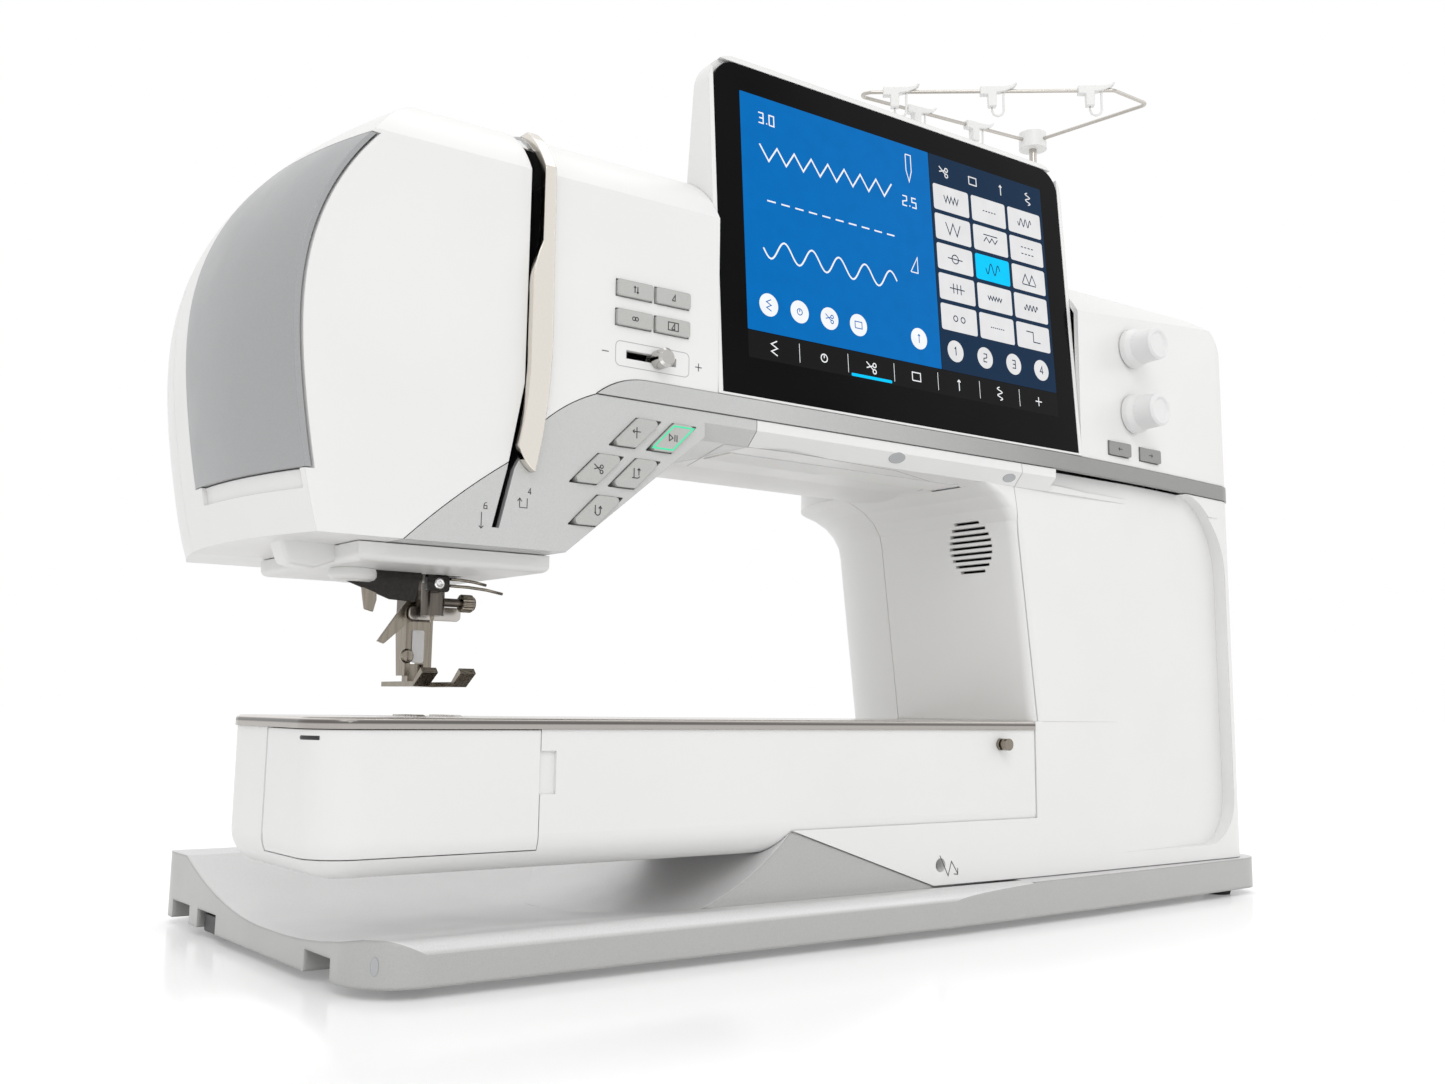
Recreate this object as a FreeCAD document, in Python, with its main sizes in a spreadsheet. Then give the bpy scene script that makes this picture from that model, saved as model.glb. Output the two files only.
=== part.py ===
"""Free-arm sewing machine with a wide throat, a touch screen and a telescopic thread stand.

Frame: +X to the right, +Y to the back, +Z up, origin on the table under the middle of the machine.
Lengths are millimetres.
"""
import FreeCAD, Part
import math
import os
import re
import Sketcher
from FreeCAD import Placement, Rotation, Vector

doc = FreeCAD.newDocument("sewing_machine")
sheet = doc.addObject("Spreadsheet::Sheet", "sizes")

# Driving dimensions: name, value, meaning
SIZES = [
    # Walls and clearances
    ("wall", 3.0, "wall of the moulded covers"),
    ("seam", 0.4, "gap between neighbouring covers"),
    ("running", 0.05, "radial clearance of a shaft in its bore"),
    ("slip", 0.35, "gap round a button or a sliding piece"),
    # Base
    ("foot_height", 4.2, "rubber feet"),
    ("foot_radius", 9.0, "radius of a foot"),
    ("foot_inset", 34.0, "foot centre from the rim of the base"),
    ("base_left", -283.5, "left end of the base"),
    ("base_right", 336.0, "right end of the base"),
    ("base_front", -130.8, "straight left part of the front edge"),
    ("base_front_right", -112.0, "front edge at the right end"),
    ("base_back", 138.8, "rear edge of the base"),
    ("base_corner", 26.0, "corner radius in plan"),
    ("base_top", 22.5, "top of the rim and of the flat under the column"),
    ("rim_width", 12.0, "width of the rim"),
    ("rim_round", 6.0, "rounding of the rim"),
    ("trough_low", 15.5, "lowest point of the dished top"),
    ("trough_mid", -30.0, "where the trough is lowest, back from the origin"),
    ("hump_top", 36.0, "ridge along the back"),
    ("hump_front", 92.0, "front foot of the ridge"),
    ("hump_back", 122.0, "rear foot of the ridge"),
    ("hump_end", 96.0, "right end of the ridge"),
    ("trough_bow", 2.0, "bow of the trough"),
    ("hump_bow", 6.0, "bow of the ridge"),
    ("port_depth", 16.0, "cable ports in the left end"),
    ("port_width", 27.0, "length of a port along the edge"),
    ("port_top", 13.0, "height of a port"),
    ("port_rear", 82.0, "front side of the rearmost port"),
    ("port_middle", 42.0, "front side of the middle port"),
    ("port_front", -98.0, "front side of the foremost port"),
    ("saddle_start", -150.0, "left foot of the saddle under the free arm"),
    ("saddle_peak", -62.0, "where the saddle is highest"),
    ("saddle_height", 54.0, "height of its top"),
    ("saddle_end", 33.0, "right foot of the saddle, on the flat"),
    ("saddle_hollow", 9.0, "depth of the saddle's concave sweep"),
    ("saddle_back", 60.0, "rear end of the saddle"),
    # Upper body
    ("body_front", -121.2, "plane of the front faces"),
    ("body_front_right", -107.6, "front face at the right end"),
    ("body_back", 95.0, "rear of the upper body"),
    ("body_right", 330.0, "right end of the upper body"),
    ("body_corner", 26.0, "upright corners at the right end"),
    ("bow_start", 131.0, "the front face is straight up to here"),
    ("bow_rise", 1.6, "outward bow of the front face to the right of that"),
    ("split", -5.0, "plane where front and rear covers meet"),
    ("arm_bottom", 238.0, "underside of the arm"),
    ("arm_lip", 7.0, "slope at the lower front edge of the arm"),
    ("trim_bottom", 250.6, "silver trim band"),
    ("trim_top", 260.0, "upper edge of the band"),
    ("trim_proud", 0.8, "band in front of the face"),
    ("trim_tip", -182.0, "pointed left end of the trim band"),
    ("trim_full", -155.0, "where the band has its full height"),
    ("trim_bow", 2.5, "curve of the band's upper edge at its left end"),
    ("face_top", 347.0, "upper edge of the flat front face"),
    ("arm_top", 378.0, "top of the arm and head"),
    ("bevel_back", -75.0, "where the sloping shoulder meets the top"),
    ("bevel_bow", 7.0, "bow of the shoulder"),
    ("top_round", 45.0, "rear upper edge of the arm"),
    ("belly_front", -50.0, "where the underside starts to rise to the back"),
    ("belly_bow", 34.0, "bow of the rising underside"),
    ("end_round", 70.0, "upper right corner of the arm"),
    # Head
    ("head_left", -335.8, "widest point of the head's side"),
    ("head_widest", 272.0, "height of that point"),
    ("head_shoulder", 110.0, "how far the side leans in at the top"),
    ("head_side_radius", 300.0, "curve of the side below the widest point"),
    ("head_side_bow", 14.0, "bow of the side in plan at the front"),
    ("head_bottom", 178.0, "underside of the head"),
    ("head_back", 45.0, "rear of the head below the arm"),
    ("head_toe", -196.0, "lower right corner of the head"),
    ("head_knee", -122.0, "where the sloping right side meets the arm"),
    ("slot_left", -218.6, "upright part of the take-up slot"),
    ("slot_right", -209.4, "its right edge"),
    ("slot_back", -75.6, "its rear end"),
    ("slot_bend", 250.0, "below here the slot's left edge leans"),
    ("slot_elbow", 236.0, "below here its right edge leans"),
    ("slot_neck", 212.0, "the slot is narrow below this height"),
    ("neck_x", -225.6, "left edge at the neck"),
    ("toe_x", -232.0, "left edge at the lower end"),
    ("thread_gap", 3.4, "width of the narrow part"),
    ("side_panel_low", 203.0, "silver panel on the head's side"),
    ("side_panel_high", 345.0, "top of that panel"),
    ("side_panel_back", -30.0, "rear edge of that panel"),
    ("side_panel_wall", 2.6, "its thickness"),
    ("grip_height", 8.0, "finger groove under the side panel"),
    ("grip_depth", 2.0, "depth of that groove"),
    ("panel_left", -271.0, "lower left tip of the silver control panel"),
    ("panel_step", 218.5, "height where the panel's edge meets the slot from the left"),
    ("panel_rise", 233.5, "and where it goes on to the right of the slot"),
    ("panel_bow", 1.6, "curve of the panel's upper edge"),
    ("panel_right", -91.0, "right end of the control panel"),
    ("window_left", -276.0, "opening in the head's underside"),
    ("window_right", -203.0, "its right edge"),
    ("window_front", -98.0, "its front edge"),
    ("window_back", 0.0, "its rear edge"),
    ("head_base_drop", 8.0, "head base below the head's underside"),
    ("head_base_round", 3.0, "rounding of the head base"),
    ("well_half", 10.0, "well round needle and presser"),
    # Column
    ("column_left", 113.6, "inner face of the column, at the bed"),
    ("column_lean", 13.0, "overhang of the inner face up to the flare"),
    ("flare_low", 211.0, "where the inner face starts to flare into the arm"),
    ("flare_rise", 30.0, "height of the flare"),
    ("flare_reach", 50.0, "how far it would reach to the left"),
    ("column_front", -114.4, "front face where it meets the free arm"),
    ("column_back_round", 98.0, "rear left edge of the column"),
    ("column_front_round", 7.0, "front edge of the inner face"),
    ("column_edge", 3.0, "strip of the throat cover that wraps onto the front"),
    ("apron_depth", 20.0, "low apron under the free arm"),
    ("dish_left", 128.0, "concave field of the column front"),
    ("dish_right", 309.0, "its right edge"),
    ("dish_low", 32.0, "its lower edge"),
    ("dish_high_round", 52.0, "its upper right corner"),
    ("dish_low_round", 30.0, "its lower right corner"),
    ("dish_depth", 9.0, "at its right edge"),
    ("dish_bow", 3.0, "bow of its hollow"),
    ("grille_y", -79.0, "speaker grille"),
    ("grille_z", 206.0, "height of its middle"),
    ("grille_radius", 17.5, "radius of the grille"),
    ("grille_bars", 9, "slots"),
    ("grille_slot", 1.6, "slot height"),
    # Screen
    ("screen_x", 18.8, "middle of the screen"),
    ("screen_low", 260.6, "lower edge of the housing"),
    ("screen_tilt", 4.1, "degrees, leaning back"),
    ("screen_width", 266.0, "housing"),
    ("screen_height", 180.0, "height of the housing"),
    ("screen_thick_top", 10.0, "depth of the housing at the top"),
    ("screen_thick_low", 26.0, "depth of the housing below its knee"),
    ("screen_knee", 84.0, "height where the back starts to lean"),
    ("screen_corner", 17.0, "rounding of its upper corners"),
    ("glass_width", 259.6, "width of the glass"),
    ("glass_height", 175.2, "height of the glass"),
    ("glass_thick", 2.2, "thickness of the glass"),
    ("glass_rise", 1.6, "glass above the housing's lower edge"),
    ("glass_corner", 14.0, "rounding of its upper corners"),
    # Push buttons of the head
    ("key_x", -152.8, "middle of the upper four keys"),
    ("key_z", 294.7, "height of their middle"),
    ("key_pitch_x", 21.2, "spacing across"),
    ("key_pitch_z", 13.8, "spacing in height"),
    ("key_width", 19.4, "width of a key"),
    ("key_height", 7.6, "height of a key"),
    ("key_proud", 1.6, "key in front of the face"),
    ("key_depth", 7.0, "key behind the face"),
    ("key_round", 1.2, "rounding of its edges"),
    ("pad_x", -161.0, "upper left of the five slanted keys"),
    ("pad_z", 235.0, "height of that key"),
    ("pad_pitch_x", 20.0, "spacing across"),
    ("pad_pitch_z", 18.7, "spacing in height"),
    ("pad_width", 13.4, "width of a slanted key"),
    ("pad_height", 13.8, "height of a slanted key"),
    ("pad_slant", 14.0, "sideways lean over its height"),
    ("pad_round", 1.8, "rounding of its corners"),
    ("slider_z", 271.0, "speed slider"),
    ("slider_x", -149.2, "middle of the slider at rest"),
    ("slider_slot_left", -166.5, "left end of its slot"),
    ("slider_slot_right", -139.5, "right end of its slot"),
    ("slider_slot_height", 3.2, "height of its slot"),
    ("slider_radius", 4.6, "radius of its button"),
    ("slider_proud", 8.0, "button in front of the face"),
    # Knobs and arrow keys at the right end
    ("knob_x", 205.0, "middle of both knobs"),
    ("knob_z_high", 334.0, "height of the upper knob"),
    ("knob_z_low", 293.0, "height of the lower knob"),
    ("knob_radius", 12.0, "radius at the foot of a knob"),
    ("knob_tip_radius", 9.9, "radius at its tip"),
    ("knob_length", 20.5, "length of a knob"),
    ("knob_ribs", 28, "ribs round a knob"),
    ("knob_rib_radius", 0.8, "radius of a rib"),
    ("knob_spindle", 3.0, "radius of its spindle"),
    ("arrow_x", 205.5, "middle of the two arrow keys"),
    ("arrow_z", 269.2, "height of their middle"),
    ("arrow_pitch", 32.5, "spacing of the two"),
    ("arrow_width", 20.6, "width of an arrow key"),
    ("arrow_height", 8.2, "height of an arrow key"),
    # Free arm
    ("bed_left", -299.5, "left end of the free arm"),
    ("bed_front", -113.8, "its front face"),
    ("bed_back", -3.0, "its rear face"),
    ("bed_bottom", 43.5, "its underside"),
    ("bed_top", 102.2, "underside of the steel plate"),
    ("bed_corner", 20.0, "its upright corners"),
    ("bed_round", 15.0, "lower edges"),
    ("plate_thick", 4.6, "steel bed plate"),
    ("plate_edge", 1.0, "plate beyond the free arm"),
    ("plate_round", 2.2, "upper edge of the plate"),
    ("door_right", -200.5, "bobbin door"),
    ("door_low", 51.5, "lower edge of the door"),
    ("door_back", -57.0, "where the door's left leg ends"),
    ("hinge_pin", 1.0, "pins of the bobbin door and the power switch"),
    ("hinge_reach", 2.0, "length of the door's pin in its bore"),
    ("notch_z", 84.0, "finger notch of the door"),
    ("notch_height", 18.0, "height of the notch"),
    ("notch_depth", 7.5, "how far it reaches to the right"),
    ("stud_x", 85.5, "stud for the extension table"),
    ("stud_z", 94.4, "height of the stud"),
    ("stud_radius", 3.2, "radius of the stud"),
    ("stud_length", 6.5, "length in front of the free arm"),
    ("socket_x", 38.0, "knee-lift socket"),
    ("socket_z", 33.0, "height of the socket"),
    ("socket_bore", 3.5, "radius of its bore"),
    ("socket_depth", 16.0, "depth of its bore"),
    # Needle and presser
    ("needle_x", -225.0, "needle and presser, across the machine"),
    ("needle_y", -53.0, "needle, along the machine's depth"),
    ("bar_radius", 3.6, "needle bar and presser bar"),
    ("needle_bar_low", 161.5, "lower end of the needle bar"),
    ("needle_bar_high", 344.0, "upper end of the needle bar"),
    ("needle_tip", 124.0, "point of the raised needle"),
    ("needle_radius", 0.6, "radius of the blade"),
    ("needle_shank", 1.0, "radius of its shank"),
    ("clamp_low", 152.0, "needle clamp"),
    ("clamp_height", 15.0, "height of the clamp"),
    ("clamp_radius", 5.4, "radius of the clamp"),
    ("screw_z", 158.5, "clamp screw"),
    ("screw_length", 15.0, "length outside the clamp"),
    ("screw_radius", 2.0, "radius of its stem"),
    ("screw_head", 3.2, "radius of its head"),
    ("stud_share", 0.8, "radius of the driving stud over that of the bar"),
    ("eye_share", 1.4, "radius of a link eye over that of the bar"),
    ("ring_share", 1.6, "radius of the bar's ring over that of the bar"),
    ("screw_stem", 10.5, "stem between clamp and screw head"),
    ("presser_gap", 20.0, "presser bar behind the needle bar"),
    ("presser_low", 150.0, "lower end of the presser bar"),
    ("presser_block_half", 5.76, "half width of the clamp block on the presser bar"),
    ("presser_block_deep", 6.12, "half depth of that block"),
    ("presser_high", 320.0, "its upper end"),
    ("foot_sole", 120.0, "underside of the raised presser foot"),
    ("sole_thick", 2.2, "thickness of the sole"),
    ("sole_length", 34.0, "length of its flat"),
    ("sole_width", 26.0, "width of the sole"),
    ("sole_back", -30.0, "rear end of the sole"),
    ("sole_gap_width", 11.0, "gap between the toes"),
    ("sole_gap_back", -46.0, "rear end of that gap"),
    ("toe_rise", 6.0, "how far the toes turn up"),
    ("toe_length", 7.0, "length of the turned-up toes"),
    ("ankle_width", 6.0, "width of the ear on the sole"),
    ("ankle_pin", 1.5, "radius of the pin through it"),
    ("ankle_foot", 2.4, "shank below the pin"),
    ("ankle_z", 127.5, "height of that pin"),
    ("lever_length", 34.0, "clamp lever of the presser foot"),
    ("lever_tip", 1.0, "drop of the lever's tip"),
    # Needle plate and feed
    ("stitch_left", -258.0, "left edge of the needle plate"),
    ("stitch_right", -188.0, "its right edge"),
    ("stitch_front", -98.0, "its front edge"),
    ("stitch_back", -14.0, "its rear edge"),
    ("stitch_thick", 2.6, "its thickness"),
    ("needle_slot", 11.0, "needle hole across the machine"),
    ("needle_slot_width", 3.4, "needle hole front to back"),
    ("feed_width", 4.2, "feed dog row"),
    ("feed_bar", 2.1, "thickness of the bar under the rows"),
    ("feed_pitch", 9.0, "from the middle to a row"),
    ("feed_length", 26.0, "length of a row"),
    ("feed_proud", 0.8, "teeth above the plate"),
    # Drive
    ("shaft_radius", 5.0, "radius of the main shaft"),
    ("shaft_z", 318.0, "main shaft, above the needle bar"),
    ("crank_radius", 22.0, "radius of the crank disc"),
    ("crank_throw", 18.0, "crank pin from the shaft"),
    ("crank_left", -213.8, "left face of the disc"),
    ("crank_thick", 6.0, "its thickness"),
    ("link_length", 52.0, "length of the needle bar link"),
    ("link_thick", 3.0, "its thickness"),
    ("link_gap", 0.6, "gap between link and disc"),
    ("lower_y", -26.0, "lower shaft"),
    ("hook_z", 76.0, "height of the lower shaft and the hook"),
    ("lower_radius", 4.0, "radius of the lower shaft"),
    ("timing_x", 282.0, "left side of the timing belt"),
    ("timing_radius", 20.0, "radius of the shaft pulleys"),
    ("belt_width", 9.0, "width of a belt"),
    ("belt_thick", 2.0, "thickness of a belt"),
    ("motor_radius", 27.0, "radius of the motor"),
    ("motor_y", 26.0, "its axis, along the depth"),
    ("motor_z", 205.0, "height of its axis"),
    ("motor_length", 52.0, "its length"),
    ("pinion_radius", 10.0, "half the shaft pulleys"),
    ("pinion_shaft", 3.0, "radius of the motor's shaft"),
    ("wheel_radius", 24.0, "handwheel"),
    ("wheel_face", 336.0, "outer face of the handwheel"),
    ("wheel_flutes", 24, "flutes round it"),
    ("wheel_flute", 1.6, "radius of a flute"),
    # Frame casting
    ("post_left", 172.0, "left face of the post"),
    ("post_width", 38.0, "width of the post"),
    ("beam_front", -45.0, "front of post and beam"),
    ("beam_back", -8.0, "rear of post and beam"),
    ("beam_low", 262.0, "underside of the upper beam"),
    ("beam_high", 276.0, "its top"),
    ("beam_left", -205.0, "its left end"),
    ("bearing_thick", 10.0, "length of a shaft bearing"),
    ("bearing_rim", 9.0, "metal round a bearing bore"),
    ("bearing_right", 250.0, "left face of the right bearing"),
    ("keel_low", 47.0, "lower beam in the free arm"),
    ("keel_high", 54.0, "its top"),
    ("keel_front", -38.0, "its front"),
    ("keel_back", -18.0, "its rear"),
    ("gearbox_half", 15.0, "half width of the hook's gear housing"),
    ("gearbox_high", 88.0, "top of that housing"),
    ("gearbox_back", -12.0, "rear of that housing"),
    ("keel_left", -240.0, "left end of the lower beam"),
    ("guide_left", -246.0, "needle bar guide"),
    ("guide_low", 190.0, "its lower end"),
    ("guide_high", 304.0, "its upper end"),
    ("guide_thick", 6.0, "its thickness"),
    ("guide_boss", 10.0, "height of its two bosses"),
    ("casting_lap", 1.0, "how far a plate of the casting reaches into its beam"),
    # Hook
    ("hook_radius", 18.0, "outside of the hook"),
    ("hook_depth", 10.0, "depth of its cup"),
    ("case_radius", 15.2, "outside of the bobbin case"),
    ("case_front", -97.0, "front of the case"),
    ("case_back", -58.0, "rear of the case"),
    ("bobbin_radius", 12.0, "radius of its flanges"),
    ("bobbin_core", 4.0, "radius of its core"),
    ("bobbin_width", 11.0, "width of the bobbin"),
    ("pintle", 2.6, "spindle that carries case and bobbin"),
    # Take-up lever
    ("take_up_y", -82.0, "pivot of the lever, along the depth"),
    ("take_up_z", 301.0, "height of the pivot"),
    ("take_up_reach", 37.0, "from pivot to eye"),
    ("take_up_lift", 40.0, "degrees above level at rest"),
    ("take_up_thick", 2.4, "thickness of the lever"),
    ("take_up_pin", 2.0, "radius of its pivot pin"),
    ("liner_wall", 1.4, "wall of the slot's liner"),
    ("liner_low", 186.0, "its lower end"),
    ("liner_high", 343.0, "its upper end"),
    ("guard_high", 370.0, "polished guard in front of the slot"),
    ("guard_proud", 4.0, "guard in front of the face"),
    ("guard_left", -218.2, "its wide middle"),
    ("guard_right", -207.8, "right edge of that middle"),
    ("guard_top_left", -214.0, "its narrow upper part"),
    ("guard_top_right", -208.8, "right edge of that part"),
    ("guard_middle", 268.0, "lower part starts to lean here"),
    ("guard_belly", 22.0, "the guard stays wide this far above that"),
    ("guard_waist", 24.0, "and grows narrow over this height"),
    ("guard_heel_x", -222.5, "left side of the lower tip"),
    ("guard_heel", 222.0, "height of that side's end"),
    ("guard_tip_x", -214.4, "right side of the lower tip"),
    ("guard_tip", 211.0, "height of that side's end"),
    ("guard_bow", 1.5, "bow of its edges"),
    # Lamp
    ("lamp_left", -88.0, "lens under the arm, left end"),
    ("lamp_right", 84.0, "its right end"),
    ("lamp_front", -96.0, "its front edge"),
    ("lamp_back", -74.0, "its rear edge"),
    # Thread stand
    ("mast_x", 270.4, "telescopic mast, across the machine"),
    ("mast_y", 12.6, "along the depth"),
    ("mast_radius", 2.7, "radius of the mast"),
    ("mast_low", 300.0, "lower end of the raised mast"),
    ("mast_sleeve", 5.5, "outside of the mast's guide"),
    ("mast_guide", 90.0, "length of the mast's guide"),
    ("stand_z", 527.0, "wire loop"),
    ("block_radius", 10.0, "block on top of the mast"),
    ("block_height", 12.0, "height of that block"),
    ("wire_radius", 1.25, "radius of the wire"),
    ("loop_front", 94.0, "loop in front of the mast"),
    ("loop_nose", 26.0, "left end of the loop's short front run"),
    ("loop_left", 152.4, "loop to the left of the mast"),
    ("loop_back", 10.3, "loop behind the mast"),
    ("loop_heel", 9.3, "short run at the loop's left end"),
    ("loop_bend", 4.0, "bend radius of the wire"),
    ("clip_width", 5.0, "width of a clip on the wire"),
    ("clip_drop", 11.0, "how far a clip hangs down"),
    # Rear and right side
    ("spool_x", 40.0, "first spool pin"),
    ("spool_y", 40.0, "row of spool pins, along the depth"),
    ("spool_pitch", 45.0, "spacing of the pins"),
    ("spool_count", 4, "number of pins"),
    ("spool_radius", 2.6, "radius of a pin"),
    ("spool_height", 46.0, "height of a pin"),
    ("spool_seat", 10.0, "radius of the disc at its foot"),
    ("inlet_y", 52.0, "mains inlet on the right side"),
    ("inlet_z", 74.0, "height of its middle"),
    ("inlet_width", 28.0, "width of the inlet"),
    ("inlet_height", 20.0, "height of the inlet"),
    ("inlet_depth", 18.0, "depth of the inlet"),
    ("rocker_z", 106.0, "height of the power switch"),
    ("rocker_width", 14.0, "width of the switch"),
    ("rocker_height", 19.0, "height of the switch"),
    ("rocker_throw", 2.0, "step between its two halves"),
    ("rocker_tilt", 8.0, "degrees, as switched on"),
]
for row, (alias, number, meaning) in enumerate(SIZES, start=1):
    sheet.set("A%d" % row, meaning or alias.replace("_", " "))
    sheet.set("B%d" % row, str(number))
    sheet.setAlias("B%d" % row, alias)
doc.recompute()


class Reader:
    """The sheet's values by name."""

    def __getattr__(self, name):
        return float(sheet.get(name))


S = Reader()
NODES = []
FAR = 1000.0
TINY = 1e-6


# Helpers for bound features
def cells(text):
    """The same formula with each size name pointing at its cell."""
    return re.sub(r"\b[a-z]\w*\b(?!\()", lambda word: "sizes." + word.group(), text)


def value(text):
    return float(sheet.evalExpression(cells(text)))


def bind(thing, **formulas):
    for name, text in formulas.items():
        thing.setExpression(name.replace("__", "."), cells(text))


def keep(node):
    NODES.append(node)
    return node


def place(node, x="0", y="0", z="0"):
    bind(node, Placement__Base__x=x, Placement__Base__y=y, Placement__Base__z=z)
    return node


def new_body(label):
    body = doc.addObject("PartDesign::Body", label)
    body.Label = label
    return body


def origin_part(body, role):
    return next(part for part in body.Origin.OriginFeatures if part.Role == role)


def new_sketch(body, role, lift="0"):
    sketch = body.newObject("Sketcher::SketchObject", body.Label + "_sketch")
    sketch.AttachmentSupport = (origin_part(body, role), [""])
    sketch.MapMode = "FlatFace"
    bind(sketch, AttachmentOffset__Base__z=lift)
    return sketch


def fix_point(sketch, index, spot, across, up):
    """Tie a sketch point to the sheet."""
    for kind, text in (("DistanceX", across), ("DistanceY", up)):
        number = sketch.addConstraint(Sketcher.Constraint(kind, -1, 1, index, spot, value(text)))
        sketch.setExpression("Constraints[%d]" % number, cells(text))


def polygon(body, role, corners, lift="0"):
    """Closed sketch through corners given as formulas."""
    sketch = new_sketch(body, role, lift)
    points = [Vector(value(across), value(up), 0) for across, up in corners]
    count = len(points)
    for i in range(count):
        sketch.addGeometry(Part.LineSegment(points[i], points[(i + 1) % count]), False)
    for i in range(count):
        sketch.addConstraint(Sketcher.Constraint("Coincident", i, 2, (i + 1) % count, 1))
    for i, (across, up) in enumerate(corners):
        fix_point(sketch, i, 1, across, up)
    return sketch


def circle(body, role, across, up, radius, lift="0"):
    sketch = new_sketch(body, role, lift)
    centre = Vector(value(across), value(up), 0)
    sketch.addGeometry(Part.Circle(centre, Vector(0, 0, 1), value(radius)), False)
    fix_point(sketch, 0, 3, across, up)
    number = sketch.addConstraint(Sketcher.Constraint("Radius", 0, value(radius)))
    sketch.setExpression("Constraints[%d]" % number, cells(radius))
    return sketch


def pad(body, sketch, length, both_ways=False):
    feature = body.newObject("PartDesign::Pad", body.Label + "_pad")
    feature.Profile = sketch
    feature.Midplane = both_ways
    bind(feature, Length=length)
    doc.recompute()
    return feature


def pocket(body, sketch, length, reverse=False, both_ways=False):
    before = body.Shape.Volume
    feature = body.newObject("PartDesign::Pocket", body.Label + "_pocket")
    feature.Profile = sketch
    feature.Midplane = both_ways
    feature.Reversed = reverse
    bind(feature, Length=length)
    doc.recompute()
    if body.Shape.Volume >= before:
        raise RuntimeError("pocket misses " + body.Label)
    return feature


def round_edges(body, radius, chosen):
    """Fillet the edges of the body's tip that the test picks."""
    doc.recompute()
    tip = body.Tip
    names = ["Edge%d" % (i + 1) for i, edge in enumerate(tip.Shape.Edges) if chosen(edge)]
    fillet = body.newObject("PartDesign::Fillet", body.Label + "_round")
    fillet.Base = (tip, names)
    bind(fillet, Radius=radius)
    doc.recompute()
    return fillet


def runs_along(axis):
    """Test for straight edges in one direction."""
    def test(edge):
        if not isinstance(edge.Curve, Part.Line):
            return False
        return abs(abs(edge.Curve.Direction.dot(axis)) - 1) < TINY
    return test


TURN_PLANES = {"x": "XZ_Plane", "y": "YZ_Plane", "z": "XZ_Plane"}
X_AXIS = Vector(1, 0, 0)
Y_AXIS = Vector(0, 1, 0)
Z_AXIS = Vector(0, 0, 1)


def turned(label, axis, corners):
    """Body of revolution; corners are (place along the axis, radius)."""
    body = new_body(label)
    if axis == "z":
        corners = [(radius, along) for along, radius in corners]
    sketch = polygon(body, TURN_PLANES[axis], corners)
    feature = body.newObject("PartDesign::Revolution", label + "_turn")
    feature.Profile = sketch
    feature.ReferenceAxis = (sketch, ["V_Axis" if axis == "z" else "H_Axis"])
    feature.Angle = 360
    doc.recompute()
    return body


def fluted(body, axis_role, groove, count):
    """Repeat a groove evenly round a turned body."""
    ring = body.newObject("PartDesign::PolarPattern", body.Label + "_flutes")
    ring.Originals = [groove]
    ring.Axis = (origin_part(body, axis_role), [""])
    ring.Angle = 360
    bind(ring, Occurrences=count)
    body.Tip = ring
    doc.recompute()
    return body


def cylinder(label, axis, radius, start, end, across, up):
    """Bound cylinder along x, y or z; across and up are the other two coordinates in order."""
    solid = doc.addObject("Part::Cylinder", label)
    bind(solid, Radius=radius, Height="(%s) - (%s)" % (end, start))
    if axis == "x":
        solid.Placement = Placement(Vector(), Rotation(Y_AXIS, 90))
        return place(solid, start, across, up)
    if axis == "y":
        solid.Placement = Placement(Vector(), Rotation(X_AXIS, -90))
        return place(solid, across, start, up)
    return place(solid, across, up, start)


def block(label, x, y, z):
    """Bound box from pairs of formulas."""
    solid = doc.addObject("Part::Box", label)
    spans = {"Length": x, "Width": y, "Height": z}
    for name, (low, high) in spans.items():
        bind(solid, **{name: "(%s) - (%s)" % (high, low)})
    return place(solid, x[0], y[0], z[0])


def fuse(label, pieces):
    whole = doc.addObject("Part::MultiFuse", label)
    whole.Shapes = pieces
    whole.Refine = True
    return whole


def cut(label, base, tool):
    rest = doc.addObject("Part::Cut", label)
    rest.Base = base
    rest.Tool = tool
    return rest


def group(label, pieces):
    """Several equal solids in one node."""
    whole = doc.addObject("Part::Compound", label)
    whole.Links = pieces
    return whole


def feature(label, shape):
    """Moulded piece whose shape is worked out from the sheet."""
    node = doc.addObject("Part::Feature", label)
    node.Label = label
    node.Shape = shape
    node.Placement = Placement()
    return keep(node)


# Helpers for moulded shapes
LIFTS = {
    "xy": lambda a, b: Vector(a, b, 0),
    "xz": lambda a, b: Vector(a, 0, b),
    "yz": lambda a, b: Vector(0, a, b),
}
NORMALS = {"xy": Z_AXIS, "xz": Y_AXIS, "yz": X_AXIS}


def bowed(start, end, sag):
    """Point halfway along an arc that stands sag to the left of the way from start to end."""
    run = (end[0] - start[0], end[1] - start[1])
    length = math.hypot(*run)
    middle = ((start[0] + end[0]) / 2, (start[1] + end[1]) / 2)
    return (middle[0] - run[1] / length * sag, middle[1] + run[0] / length * sag)


def face_of(plane, start, *steps):
    """Face inside straight runs and arcs; an arc step is (end, sag)."""
    lift = LIFTS[plane]
    edges = []
    here = start
    for step in steps + (start,):
        end, sag = step if isinstance(step[0], tuple) else (step, 0.0)
        if math.dist(here, end) < TINY:
            continue
        if sag:
            edges.append(Part.Arc(lift(*here), lift(*bowed(here, end, sag)), lift(*end)).toShape())
        else:
            edges.append(Part.LineSegment(lift(*here), lift(*end)).toShape())
        here = end
    return Part.Face(Part.Wire(edges))


QUARTER_SAG = 1 - math.sqrt(0.5)


def quarter(radius):
    """Sag of a quarter circle."""
    return radius * QUARTER_SAG


def grown(face, distance):
    """Face offset outward (or inward, when negative) in its plane."""
    if abs(distance) < TINY:
        return face
    return Part.Face(face.OuterWire.makeOffset2D(distance))


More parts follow.
